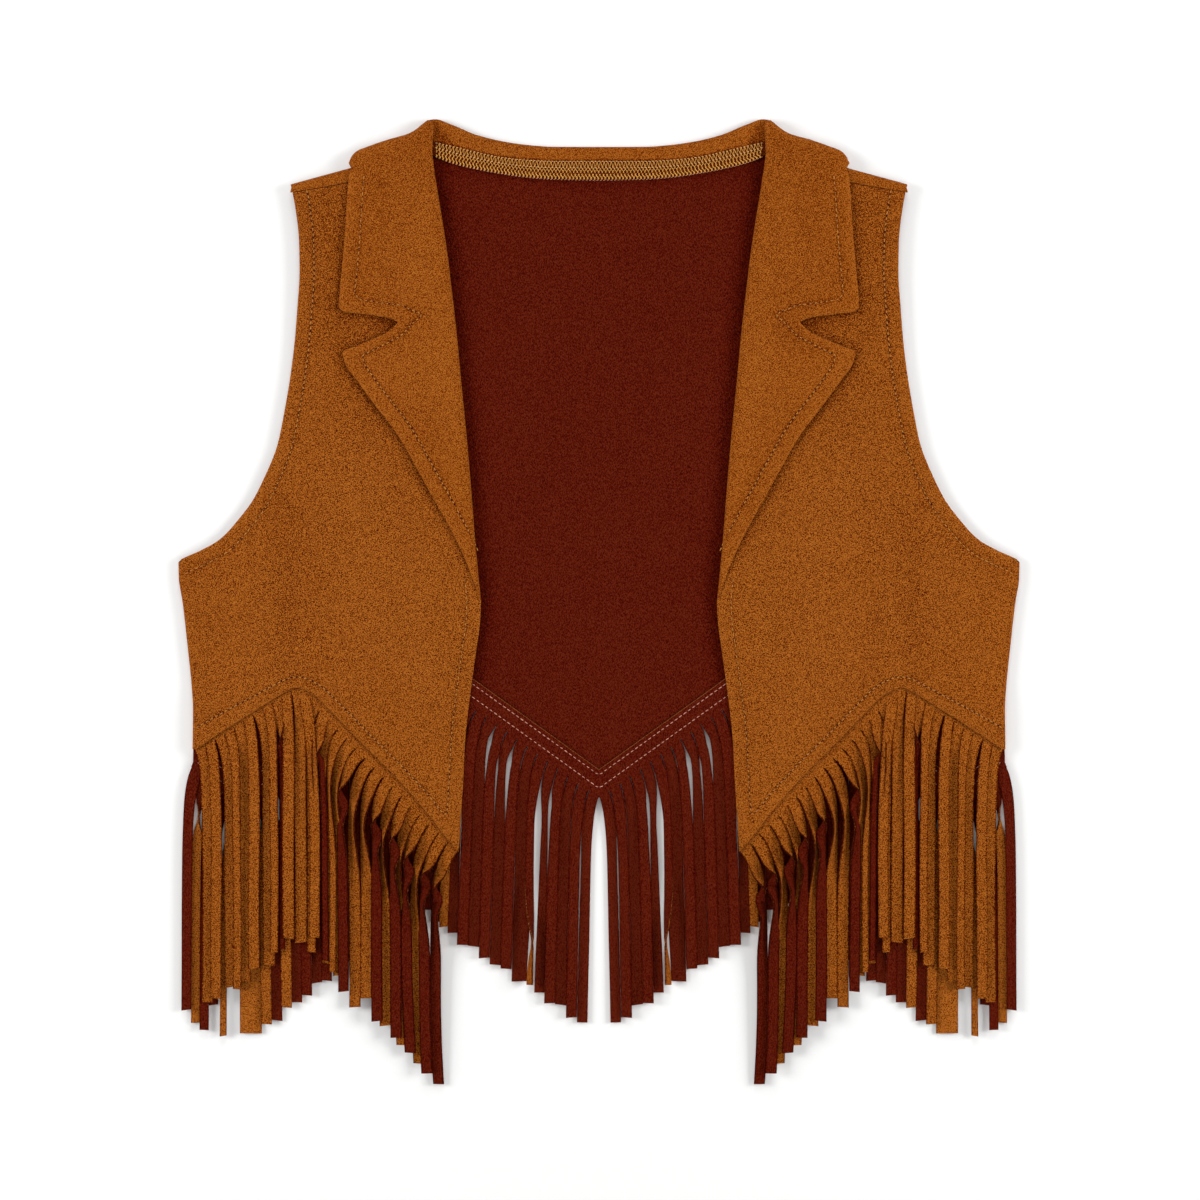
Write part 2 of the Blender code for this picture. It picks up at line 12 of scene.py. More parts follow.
import bpy
import numpy as np
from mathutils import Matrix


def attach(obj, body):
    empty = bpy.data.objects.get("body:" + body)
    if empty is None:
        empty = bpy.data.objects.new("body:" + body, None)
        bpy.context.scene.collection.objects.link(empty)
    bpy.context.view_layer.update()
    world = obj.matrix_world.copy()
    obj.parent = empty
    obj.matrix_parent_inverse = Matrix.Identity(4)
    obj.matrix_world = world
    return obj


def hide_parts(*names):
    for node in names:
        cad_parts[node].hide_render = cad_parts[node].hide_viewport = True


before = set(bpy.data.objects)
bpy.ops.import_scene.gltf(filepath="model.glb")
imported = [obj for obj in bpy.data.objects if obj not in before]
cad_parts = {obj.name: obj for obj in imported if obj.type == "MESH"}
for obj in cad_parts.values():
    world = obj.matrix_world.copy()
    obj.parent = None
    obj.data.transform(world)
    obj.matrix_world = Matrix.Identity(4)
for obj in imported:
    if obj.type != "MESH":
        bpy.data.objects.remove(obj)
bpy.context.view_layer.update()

MM = 0.001
MIRROR = (-1, 1, 1)
SIDES = (("left", -1), ("right", 1))
print("plain model:", sorted(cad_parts))

# %% [markdown]
# ## The cut, in tables
#
# A maker draws half a pattern on folded paper, and both halves come out the same. The tables do that too: u is
# the distance from the centre line and y the height up the garment. They are the same tables as in the plain
# model, because the fine cloth has to lie exactly where the plain cloth lies.

# %% Layers of cloth
CLOTH = 1.2
GAP = 0.3
STEP = CLOTH + GAP
HALF = CLOTH / 2
BACK_LAYER, BACK_STRIP_LAYER, FRONT_LAYER, COLLAR_LAYER, LAPEL_LAYER = 0, 1, 2, 2, 3
RISE_START, RISE_END = 118.0, 198.0
HEM_LIFT_FULL, HEM_LIFT_END = 0.062, 0.13
FOLD = STEP
WRAP_FOLD = 2 * STEP


def layer(number):
    """Height of the middle of a layer of cloth above the floor."""
    return HALF + number * STEP


def ease(share):
    """Turn a share that runs from 0 to 1 into one that starts and stops softly."""
    share = np.clip(share, 0.0, 1.0)
    return share * share * (3 - 2 * share)


def rise(y):
    """Every layer lifts by one cloth near the neck, over the collar's hidden fall."""
    return STEP * ease((y - RISE_START) / (RISE_END - RISE_START))


print("layers from", layer(BACK_LAYER), "to", layer(LAPEL_LAYER), "mm")

# %% Outlines of the panels
SIDE_AND_ARMHOLE = [
    (-88.0, 217.6), (-57.9, 217.2), (-45.0, 218.1), (-21.0, 220.6), (0.0, 223.0), (12.7, 225.0),
    (21.6, 225.2), (23.2, 222.6), (27.2, 213.5), (33.0, 203.3), (43.7, 193.1), (54.4, 185.1),
    (65.1, 179.6), (84.2, 171.9), (102.6, 168.1), (121.0, 165.0), (139.5, 162.7), (157.9, 161.2),
    (176.4, 160.0), (191.7, 160.2), (211.7, 162.4), (224.0, 165.0)]
UNDERARM_Y = 21.6
FRONT_EDGE = [
    (-133.9, 75.1), (-98.0, 72.8), (-74.0, 71.6), (-57.9, 70.0), (-41.9, 67.9), (-25.8, 65.7),
    (-12.0, 63.8), (0.0, 63.2), (10.0, 64.1), (33.6, 66.3), (54.4, 67.9), (86.5, 70.6), (120.0, 73.9),
    (142.7, 76.0), (170.2, 79.1), (186.6, 81.1), (205.0, 83.9), (225.6, 87.2), (240.0, 89.0),
    (250.0, 89.6), (258.4, 88.0)]
FRONT_HEM = [
    (75.1, -133.9), (84.6, -122.0), (95.9, -107.8), (111.9, -90.2), (128.0, -74.0), (143.0, -58.6),
    (153.0, -49.2), (161.6, -45.8), (170.0, -49.6), (181.0, -56.4), (195.0, -65.2), (206.0, -72.4),
    (217.3, -80.3)]
FRONT_HEM_PEAK = (161.6, -44.4)
BACK_HEM_CORNERS = [(0.0, -99.8), (95.8, -30.8), (190.5, -105.7), (217.6, -83.7)]
BACK_HEM_BELOW_ROW = 2.0
SHOULDER_FOLD = [(91.5, 243.8), (133.5, 231.9), (164.6, 223.4)]
SHOULDER_SEAM = [(90.4, 236.3), (106.5, 232.1), (134.3, 224.0), (164.2, 218.6)]
SHOULDER_OUTWARD = (0.262, 0.965)
SHOULDER_WRAP_FROM, SHOULDER_WRAP_START, SHOULDER_WRAP_LEAN = 97.0, 98.0, 0.6
print("outline points:", len(SIDE_AND_ARMHOLE) + len(FRONT_EDGE) + len(FRONT_HEM))

# %% Collar, lapel and neck
BACK_NECK = [
    (0.0, 243.5, 235.7, 225.7, 203.0), (24.6, 243.6, 235.7, 226.2, 203.4), (38.2, 244.6, 236.3, 227.2, 204.0),
    (51.9, 246.6, 237.7, 229.1, 204.6), (65.5, 250.0, 240.5, 231.6, 205.2), (79.2, 255.6, 243.8, 235.0, 206.0),
    (87.8, 258.4, 245.6, 238.4, 206.6)]
LAPEL = [
    (10.0, 67.2, 12.0), (24.0, 73.4, 27.2), (38.0, 80.5, 41.2), (54.0, 89.0, 56.5), (70.0, 97.5, 72.0),
    (86.0, 107.0, 88.6), (102.0, 120.0, 105.8), (116.0, 129.7, 119.0), (126.0, 135.4, 127.2),
    (133.0, 136.8, 133.3), (137.0, 129.7, 136.4), (140.5, 121.6, 140.0), (144.0, 113.4, 143.6),
    (149.0, 106.7, 149.4), (152.0, 113.4, 151.8), (154.5, 125.6, 153.8), (157.0, 136.6, 155.2),
    (160.0, 138.7, 157.6), (178.0, 137.0, 178.6), (196.0, 135.4, 196.7), (212.0, 134.6, 210.0),
    (226.0, 134.0, 220.0), (240.0, 133.4, 227.0)]
NOTCH_ROLL_Y = 149.0
LAPEL_LEG_WIDTH, LAPEL_LEG_TOP = 8.0, 227.0
COLLAR_WRAP = [
    (0.00, 91.8, 258.2, 89.6, 206.8), (0.25, 101.2, 250.8, 98.0, 209.0), (0.50, 113.4, 247.1, 109.5, 212.5),
    (0.75, 124.3, 243.3, 120.5, 217.5), (1.00, 132.8, 236.6, 129.4, 228.0)]
COLLAR_OUTWARD = (0.40, 0.917)
print("collar rows:", len(LAPEL) + len(COLLAR_WRAP))

# %% [markdown]
# ## Reading a table smoothly
#
# Straight lines between the rows of a table would show as facets on a curved armhole. A cubic that never
# overshoots its rows gives the smooth line that scissors cut, and it can still turn sharply at a named corner.
# NumPy is enough for that, and one function then serves every outline.

# %% Smooth lines through the tables
def smooth_line(rows, column=1, corners=()):
    """Return a function that reads one column of a table by its first column."""
    x = np.array([row[0] for row in rows])
    y = np.array([row[column] for row in rows])
    step = np.diff(x)
    slope = np.diff(y) / step
    start, end = slope.copy(), slope.copy()
    for k in range(1, len(slope)):
        before, after = slope[k - 1], slope[k]
        if x[k] in corners:
            continue
        level = before * after <= 0
        near, far = 2 * step[k] + step[k - 1], step[k] + 2 * step[k - 1]
        end[k - 1] = start[k] = 0.0 if level else (near + far) / (near / before + far / after)

    def read(value):
        value = np.asarray(value, dtype=float)
        k = np.clip(np.searchsorted(x, value, side="right") - 1, 0, len(slope) - 1)
        t = np.clip((value - x[k]) / step[k], 0, 1)
        rest = 1 - t
        curve = y[k] * (1 + 2 * t) * rest ** 2 + y[k + 1] * t * t * (1 + 2 * rest)
        return curve + step[k] * (start[k] * t * rest ** 2 - end[k] * t * t * rest)

    return read


def read_rows(value, rows):
    """Read a table of two columns, with straight lines between its rows."""
    return np.interp(value, *np.array(rows).T)


def opened(half, flip=1):
    """A half pattern and its mirror image, joined at their first column, which is the fold of the paper."""
    return np.concatenate([half[:, :0:-1] * flip, half], axis=1)


side_u = smooth_line(SIDE_AND_ARMHOLE, corners=(UNDERARM_Y,))
roll_u = smooth_line(FRONT_EDGE)
front_hem_y = smooth_line(FRONT_HEM)
shoulder_seam_y = smooth_line(SHOULDER_SEAM)
shoulder_fold_y = smooth_line(SHOULDER_FOLD)
lapel_u = smooth_line(LAPEL, 1, (NOTCH_ROLL_Y,))
lapel_y = smooth_line(LAPEL, 2, (NOTCH_ROLL_Y,))
print("half chest:", float(side_u(UNDERARM_Y)), "mm")

# %% [markdown]
# ## Arithmetic on sockets
#
# A shader is a sum over noise patterns, and a sum reads best as one. The small class below wraps a socket, so
# that `grain * 0.6 + nap * 0.4` adds the Math nodes by itself. Colours go through Mix nodes, because a Math
# node would turn them grey. The same class later serves the Geometry Nodes trees.

# %% A socket that can be used in sums
class Value:
    """One output socket of a node tree."""

    def __init__(self, graph, socket):
        self.graph = graph
        self.socket = socket

    def math(self, operation, first, second):
        return self.graph.node("ShaderNodeMath", {"operation": operation}, {0: first, 1: second})

    def __add__(self, other):
        return self.math("ADD", self, other)

    def __mul__(self, other):
        return self.math("MULTIPLY", self, other)

    def __sub__(self, other):
        return self.math("SUBTRACT", self, other)

    __radd__ = __add__


class Graph:
    """A node tree, with one method that makes any node."""

    def __init__(self, tree):
        self.tree = tree

    def node(self, kind, settings=None, values=None, output=0):
        """Make a node: its settings first, then the values or links of its inputs."""
        made = self.tree.nodes.new(kind)
        for name, value in (settings or {}).items():
            setattr(made, name, value)
        for key, value in (values or {}).items():
            if isinstance(value, Value):
                self.tree.links.new(value.socket, made.inputs[key])
            else:
                made.inputs[key].default_value = value
        return Value(self, made.outputs[output])

    def blend(self, factor, first, second):
        """Mix two colours."""
        return self.node("ShaderNodeMix", {"data_type": "RGBA"}, {0: factor, 6: first, 7: second}, 2)

    def noise(self, place, features_per_metre, detail=2.0, roughness=0.5):
        """Noise between 0 and 1."""
        values = {"Vector": place, "Scale": features_per_metre, "Detail": detail, "Roughness": roughness}
        return self.node("ShaderNodeTexNoise", {}, values)

    def between(self, value, low, high, kind="SMOOTHSTEP"):
        """Map a value to 0 below low and to 1 above high."""
        values = {"Value": value, "From Min": low, "From Max": high}
        return self.node("ShaderNodeMapRange", {"interpolation_type": kind}, values)

    def place(self):
        """Where a point lies on its object."""
        return self.node("ShaderNodeTexCoord", output="Object")

    def mark(self, name):
        """A value that the points of a cloth carry."""
        return self.node("ShaderNodeAttribute", {"attribute_name": name}, output="Fac")

    def vector(self, operation, first, second):
        """Arithmetic on two vectors, or on a vector and a number where the operation is SCALE."""
        key = "Scale" if operation == "SCALE" else 1
        return self.node("ShaderNodeVectorMath", {"operation": operation}, {0: first, key: second})


def finish_of(name):
    """Start a material and return it with its graph."""
    made = bpy.data.materials.new(name)
    made.use_nodes = True
    return made, Graph(made.node_tree)


def connect(graph, colour, roughness, height, depth, **constants):
    """Lead the patterns to the shader, and set what is the same all over on the shader itself."""
    shader = graph.tree.nodes["Principled BSDF"]
    for key, value in constants.items():
        shader.inputs[key.replace("_", " ")].default_value = value
    bump = graph.node("ShaderNodeBump", {}, {"Strength": 1.0, "Distance": depth, "Height": height})
    for key, value in (("Base Color", colour), ("Roughness", roughness), ("Normal", bump)):
        graph.tree.links.new(value.socket, shader.inputs[key])


def shade(colour, amount):
    """A lighter or darker version of a colour."""
    return tuple(min(1.0, part * amount) for part in colour[:3]) + (1.0,)


print("shader kit ready")

# %% [markdown]
# ## The suede and its reverse
#
# Faux suede is a knit with a brushed face. Close up it is a grain of lit and shaded fibres, finer than a
# millimetre, and from farther off the brushed fibres lie this way and that in soft patches. It has no gloss,
# only a little sheen at the edges. The reverse is a smooth dark red knit. Each is a few noise patterns on
# Object coordinates, and three values that the points of a cloth carry do the rest: `seam` paints shade into
# the dents along the stitches, `edge` makes the cloth lighter near its turned edges, and the third holds
# painted shade and light: dark bands where other cloth lies on it, and listed lighter and darker patches.

# %% Suede
SUEDE_TONES = [(0.040, 0.0035, 0.0004, 1.0), (0.131, 0.0185, 0.0004, 1.0), (0.236, 0.0548, 0.0022, 1.0),
               (0.383, 0.1180, 0.0150, 1.0)]
REVERSE_TONES = [(0.010, 0.0007, 0.0003, 1.0), (0.053, 0.0016, 0.0003, 1.0), (0.078, 0.0052, 0.0008, 1.0),
                 (0.111, 0.0140, 0.0045, 1.0)]
CUT_TONES = [(0.022, 0.0020, 0.0005, 1.0), (0.100, 0.0130, 0.0015, 1.0), (0.235, 0.0680, 0.0150, 1.0),
             (0.360, 0.1450, 0.0500, 1.0)]
TONE_STEPS = (-2.2, -1.0, 0.0, 1.0)
FINE_GRAIN, GRAIN, NAP_STREAK, NAP_PATCH = 2300.0, 900.0, 95.0, 26.0
# A noise's own lattice would show as smooth patches on a cloth that lies level, so its coordinates are turned.
GRAIN_TURN = (0.7, 0.5, 0.3)
NAP_STRETCH, RIB_STRETCH = (1.0, 0.45, 1.0), (1.0, 0.5, 1.0)
GRAIN_SHARE, FINE_SHARE = 0.18, 0.82
STREAK_TONE, PATCH_TONE, EDGE_TONE, SEAM_SHADE = 0.4, 0.5, 0.55, 0.75
SMOOTH_CONTRAST, ROUGH_CONTRAST = 9.5, 14.0
SUEDE_DEPTH, KNIT_DEPTH, THREAD_DEPTH, FLOOR_DEPTH = 0.00008, 0.00006, 0.0001, 0.00001


def toned(graph, tone, tones):
    """Colour of a cloth from deepest shade to lightest fibre, by a tone around 0."""
    colour = tones[0]
    for k in range(1, len(tones)):
        share = graph.between(tone, TONE_STEPS[k - 1], TONE_STEPS[k], "LINEAR")
        colour = graph.blend(share, colour, tones[k])
    return colour


def suede(name, contrast):
    """Brushed cloth with grain and soft patches, painted shade in the seam dents, and lighter turned edges."""
    made, graph = finish_of(name)
    place = graph.place()
    brushed = graph.node("ShaderNodeMapping", {}, {"Vector": place, "Scale": NAP_STRETCH})
    turned = graph.node("ShaderNodeMapping", {}, {"Vector": place, "Rotation": GRAIN_TURN})
    grain = graph.noise(turned, GRAIN, 3.0, 0.65)
    fibres = grain * GRAIN_SHARE + graph.noise(turned, FINE_GRAIN, 0.0) * FINE_SHARE
    streak = graph.noise(brushed, NAP_STREAK, 4.0, 0.6)
    patch = graph.noise(brushed, NAP_PATCH, 3.0, 0.55)
    tone = (fibres - 0.5) * contrast + (streak - 0.5) * STREAK_TONE + (patch - 0.5) * PATCH_TONE
    # The values on the cloth's points add painted shade and light, and painted shade in the dents along the
    # stitches; the cloth is lighter near its turned edges.
    tone = tone + graph.mark("nap") + graph.mark("edge") * EDGE_TONE - graph.mark("seam") * SEAM_SHADE
    connect(graph, toned(graph, tone, SUEDE_TONES), 0.86 + fibres * 0.12, fibres + streak * 0.35, SUEDE_DEPTH,
            Sheen_Weight=0.06, Sheen_Roughness=0.4, Sheen_Tint=(0.8, 0.4, 0.12, 1.0), Specular_IOR_Level=0.03)
    return made


suede_face = suede("brown suede", SMOOTH_CONTRAST)
front_face = suede("brown suede, rough nap", ROUGH_CONTRAST)
print("made", suede_face.name, "and", front_face.name)

# %% Reverse and cut edge
KNIT_CONTRAST, KNIT_PATCH_TONE, KNIT_SEAM_SHADE = 6.0, 0.3, 0.3
LINT_GRAIN, LINT_FROM, LINT_TO, LINT_SHARE, LINT_LIGHT = GRAIN * 0.55, 0.76, 0.86, 0.35, 3.2


def knit(name, tones):
    """Smooth knit with a fine grain that runs up and down the garment, and specks of lint."""
    made, graph = finish_of(name)
    place = graph.place()
    ribs = graph.node("ShaderNodeMapping", {}, {"Vector": place, "Scale": RIB_STRETCH, "Rotation": GRAIN_TURN})
    loops = graph.noise(ribs, FINE_GRAIN, 0.0)
    patch = graph.noise(place, NAP_PATCH, 3.0, 0.6)
    lint = graph.noise(place, LINT_GRAIN, 1.0)
    tone = (loops - 0.5) * KNIT_CONTRAST + (patch - 0.5) * KNIT_PATCH_TONE
    # The values on the cloth's points add painted shade and light, and painted shade in the dents along the
    # stitches.
    tone = tone + graph.mark("nap") - graph.mark("seam") * KNIT_SEAM_SHADE
    speck = graph.between(lint, LINT_FROM, LINT_TO) * LINT_SHARE
    cloth = graph.blend(speck, toned(graph, tone, tones), shade(tones[2], LINT_LIGHT))
    connect(graph, cloth, 0.8 + loops * 0.12, loops, KNIT_DEPTH,
            Sheen_Weight=0.03, Sheen_Roughness=0.5, Sheen_Tint=(0.6, 0.12, 0.05, 1.0), Specular_IOR_Level=0.02)
    return made


reverse_face, cut_edge = knit("dark red reverse", REVERSE_TONES), knit("tan cut edge", CUT_TONES)
print("made", reverse_face.name, "and", cut_edge.name)

# %% Threads
def thread(name, *colour):
    """Twisted sewing thread: fine lights and darks on a plain colour."""
    made, graph = finish_of(name)
    ply = graph.noise(graph.place(), FINE_GRAIN, 1.0)
    tinted = graph.blend(graph.between(ply, 0.3, 0.7), shade(colour, 0.7), shade(colour, 1.3))
    connect(graph, tinted, 0.75 + ply * 0.1, ply, THREAD_DEPTH, Sheen_Weight=0.03, Specular_IOR_Level=0.1)
    return made


brown_thread = thread("brown thread", 0.46, 0.185, 0.035)
# Dark beads between the stitches are painted shade, standing in for the shade in each needle hole.
hole_shade = thread("painted shade of needle holes", 0.030, 0.0030, 0.0010)
pink_thread = thread("pale pink thread", 0.52, 0.23, 0.170)
gold_thread = thread("golden overlock thread", 0.64, 0.31, 0.065)
pale_thread = thread("pale overlock thread", 0.62, 0.34, 0.130)
print("made the threads")

# %% [markdown]
# ## Distances, dents and creases
#
# A turned and topstitched edge is not flat: it rolls down at its rim, swells between rim and stitches, and dips
# along the stitches. All three depend only on how far a point is from a line. So the cloth meshes ask for the
# distance to a line of points, and the same lines later carry the stitches. The main creases are listed one by
# one, each a soft ridge or trough along a short line.

# %% Distance to a line
INSET_KEPT = 0.97
PUFF_AT = [0.0, 0.6, 1.4, 3.0, 5.0, 8.0, 12.0, 18.0]
PUFF = [-0.45, -0.12, 0.12, 0.32, 0.38, 0.25, 0.10, 0.0]
DENT_DEPTH, DENT_WIDTH, EDGE_FADE = 0.34, 0.9, 1.6


def to_segment(points, a, b):
    """Distance in the plan from each point to the straight line between two others."""
    along = b - a
    share = np.clip((points - a) @ along / max(float(along @ along), 1e-9), 0, 1)
    return np.hypot(*(points - a - share[:, None] * along).T)


def distance_to(points, line):
    """Shortest distance in the plan from each point to a line of points."""
    best = np.full(len(points), 1e9)
    for a, b in zip(line[:-1], line[1:]):
        best = np.minimum(best, to_segment(points, a, b))
    return best


def inset(line, distance, side):
    """A line beside another one, without the loops that it would make inside a corner."""
    line = np.asarray(line, dtype=float)
    along = np.gradient(line, axis=0)
    along /= np.linalg.norm(along, axis=1)[:, None]
    distance = np.broadcast_to(distance, len(line))
    moved = line + side * distance[:, None] * np.stack([-along[:, 1], along[:, 0]], axis=1)
    return moved[distance_to(moved, line) > distance * INSET_KEPT]


def ridge(distance, width):
    """A soft ridge: 1 on its line, and falling away beside it."""
    return np.exp(-(distance / width) ** 2)


def along_lines(points, rows):
    """Sum of soft ridges along short lines: u, y to u, y, half width and size."""
    total = np.zeros(len(points))
    for u_a, y_a, u_b, y_b, width, size in rows:
        total += size * ridge(to_segment(points, np.array((u_a, y_a)), np.array((u_b, y_b))), width)
    return total


def relief(points, edges, stitches, creases):
    """Height added to a cloth at each point, and how near its seams and edges the point is."""
    height = along_lines(points, creases)
    near_edge = np.zeros(len(points))
    near_seam = np.zeros(len(points))
    for line in edges:
        distance = distance_to(points, line)
        height += np.interp(distance, PUFF_AT, PUFF)
        near_edge = np.maximum(near_edge, np.exp(-distance / EDGE_FADE))
    for line in stitches:
        near_seam = np.maximum(near_seam, ridge(distance_to(points, line), DENT_WIDTH))
    return height - DENT_DEPTH * near_seam, near_seam, near_edge


print("relief ready")

# %% [markdown]
# ## From a grid of points to a piece of cloth
#
# Each panel is a grid of points from its hem to its top edge. Rows and columns crowd together near the edges,
# where the shape changes within a millimetre, and spread out in the middle. Solidify then gives the sheet its
# thickness, with the suede on one face, the reverse on the other and the cut colour on the rim, and a small
# Bevel takes the hardness off the rim. Both are applied, because the finished piece should be a plain mesh.

# %% Grid helpers
EDGE_STEPS = np.array([0.0, 0.6, 1.3, 2.2, 3.4, 4.8, 6.2, 7.1, 7.9, 8.7, 9.6, 10.8, 12.6])
EDGE_WIDTH = EDGE_STEPS[-1]


def spread(inner_steps, middle, outer_steps):
    """Columns of a panel: distance from the inner edge, share of the middle, distance back from the outer."""
    inner_width = inner_steps[-1]
    shares = np.linspace(0, 1, middle + 2)[1:-1]
    start = np.concatenate([inner_steps, np.full(middle + len(outer_steps), inner_width)])
    share = np.concatenate([np.zeros(len(inner_steps)), shares, np.ones(len(outer_steps))])
    back = np.concatenate([np.zeros(len(inner_steps) + middle), outer_steps[-1] - outer_steps[::-1]])
    return start, share, back, inner_width, outer_steps[-1]


FIRST_HEM_Y, FIRST_TOP_Y, SETTLING_ROUNDS = -60.0, 200.0, 14
MAX_SLOPE = 1.3
DENSE_BELOW, DENSE_ABOVE = 0.05, 0.04


def panel_grid(columns, rows, hem, top, inner, outer, stretch):
    """Plan points of a panel, row by row from the hem up, and each row's share of the height."""
    start, share, back, inner_width, outer_width = columns

    def column_u(y):
        factor = stretch(y)
        middle = outer(y) - inner(y) - inner_width - outer_width * factor
        return inner(y) + start + share * middle + back * factor

    u_hem, u_top = column_u(np.full(len(start), FIRST_HEM_Y)), column_u(np.full(len(start), FIRST_TOP_Y))
    for _ in range(SETTLING_ROUNDS):
        u_hem, u_top = column_u(hem(u_hem)), column_u(top(u_top))
    y_hem, y_top = hem(u_hem), top(u_top)
    slant = np.hypot(1, np.clip(np.abs(np.gradient(y_hem, u_hem)), 0, MAX_SLOPE))
    height = y_top - y_hem
    low_steps, shares, high_steps = rows
    body = height - low_steps[-1] * slant - high_steps[-1]
    y_rows = [y_hem + step * slant for step in low_steps]
    y_rows += [y_hem + low_steps[-1] * slant + body * part for part in shares]
    y_rows += [y_top - step for step in high_steps[::-1]]
    y = np.array(y_rows)
    u = np.array([column_u(row) for row in y])
    return u, y, (y - y_hem) / height


def dense_shares(count, around, extra):
    """Shares from 0 to 1, with more of them around one value."""
    even = np.linspace(0, 1, count + 2)[1:-1]
    return np.unique(np.concatenate([even, np.linspace(around - DENSE_BELOW, around + DENSE_ABOVE, extra)]))


def add_mesh(name, vertices, faces, finishes, finish_numbers=None, attributes=None):
    """Make an object from points in millimetres."""
    mesh = bpy.data.meshes.new(name)
    mesh.from_pydata((np.asarray(vertices) * MM).tolist(), [], faces)
    for finish in finishes:
        mesh.materials.append(finish)
    if finish_numbers is not None:
        mesh.polygons.foreach_set("material_index", finish_numbers)
    for label, values in (attributes or {}).items():
        mesh.attributes.new(label, "FLOAT", "POINT").data.foreach_set("value", values)
    made = bpy.data.objects.new(name, mesh)
    bpy.context.scene.collection.objects.link(made)
    return made


def applied(made):
    """Turn an object with modifiers into a plain mesh under the same name."""
    graph = bpy.context.evaluated_depsgraph_get()
    mesh = bpy.data.meshes.new_from_object(made.evaluated_get(graph), depsgraph=graph)
    mesh.name = made.name
    made.modifiers.clear()
    if made.type == "MESH":
        made.data = mesh
        return made
    name = made.name
    bpy.data.objects.remove(made, do_unlink=True)
    plain = bpy.data.objects.new(name, mesh)
    bpy.context.scene.collection.objects.link(plain)
    return plain


RIM_BEVEL = 0.32


def cloth_from_grid(name, grid, finishes, side=1, attributes=None):
    """A piece of cloth from a grid of points, of which NaN ones are cut away."""
    rows, columns = grid.shape[:2]
    there = ~np.isnan(grid[..., 2])
    number = np.cumsum(there.ravel()).reshape(rows, columns) - 1
    whole = there[:-1, :-1] & there[:-1, 1:] & there[1:, 1:] & there[1:, :-1]
    i, j = np.nonzero(whole)
    faces = np.stack([number[i, j], number[i, j + 1], number[i + 1, j + 1], number[i + 1, j]], axis=1)
    if side < 0:
        faces = faces[:, ::-1]
    kept = {label: values[there] for label, values in (attributes or {}).items()}
    made = add_mesh(name, grid[there] * (side, 1, 1), faces.tolist(), finishes, None, kept)
    thick = made.modifiers.new("cloth", "SOLIDIFY")
    thick.thickness = CLOTH * MM
    thick.offset = 0
    thick.use_even_offset = True
    thick.use_quality_normals = True
    thick.material_offset = 1
    thick.material_offset_rim = 2
    rim = made.modifiers.new("soft rim", "BEVEL")
    rim.width = RIM_BEVEL * MM
    rim.segments = 2
    rim.limit_method = "ANGLE"
    rim.angle_limit = math.radians(50)
    rim.use_clamp_overlap = False
    made = applied(made)
    made.data.shade_smooth()
    print(name, len(made.data.polygons), "faces")
    return made


def marks_on(points, part, first_column=0, **marks):
    """Values for a grid of points: the given ones on a part of it, in its first rows, and 0 elsewhere."""
    made = {}
    for label, values in marks.items():
        made[label] = np.zeros(points.shape[:2])
        made[label][:part[0], first_column:first_column + part[1]] = values.reshape(part)
    return made


def pair_of(name, points, finishes, marks):
    """The left and the right piece from one half of the pattern."""
    return {label: cloth_from_grid(name + label, points, finishes, side, marks) for label, side in SIDES}


def arc(points, outward, radius, z, turns, last=None):
    """Rows of a half turn at the end of a sheet, which starts level at z and ends 2 radii lower or higher."""
    made = []
    for step in range(1, (last or turns) + 1):
        angle = math.pi * step / turns
        reach = np.abs(radius) * math.sin(angle)
        made.append(np.stack([points[:, 0] + outward[..., 0] * reach, points[:, 1] + outward[..., 1] * reach,
                              z - radius * (1 - math.cos(angle))], axis=1))
    return made


# %% [markdown]
# ## Stitch lines
#
# Every topstitch on this vest runs at an even distance inside an edge: 8 mm at the armholes and lapels, 7 mm
# along the front edges, and 6 to 10 mm along the front hems. The lines are worked out once, before the cloth,
# because the cloth dips along them.

# %% Lines on the front, the lapel and the back
ARMHOLE_INSET, EDGE_INSET, LAPEL_INSET = 7.8, 7.4, 8.0
HEM_INSETS = [(75.0, 6.8), (120.0, 6.2), (150.0, 6.0), (161.6, 5.6), (178.0, 6.6), (217.0, 10.0)]
BREAK_Y = 12.0

armhole_y = np.concatenate([np.linspace(217.5, 40, 90), np.linspace(39, UNDERARM_Y + 0.3, 30)])
armhole = np.stack([side_u(armhole_y), armhole_y], axis=1)
hem_u = np.linspace(217.0, 75.1, 110)
front_hem = np.stack([hem_u, front_hem_y(hem_u)], axis=1)
edge_y = np.linspace(-133.9, BREAK_Y, 90)
front_edge = np.stack([roll_u(edge_y), edge_y], axis=1)


def joined(first, second):
    """Two lines that cross, each cut off where it meets the other."""
    gaps = np.linalg.norm(first[:, None] - second[None], axis=2)
    i, j = np.unravel_index(gaps.argmin(), gaps.shape)
    return np.concatenate([first[:i], second[j + 1:]])


def within(line, margin):
    """The part of a line that lies inside the side seam and armhole."""
    return line[line[:, 0] < side_u(line[:, 1]) - margin]


armhole_stitch = within(inset(armhole, ARMHOLE_INSET, -1), 1.5)
hem_inset = read_rows(hem_u, HEM_INSETS)
hem_stitch = within(joined(inset(front_hem, hem_inset, -1), inset(front_edge, EDGE_INSET, -1)), 1.5)

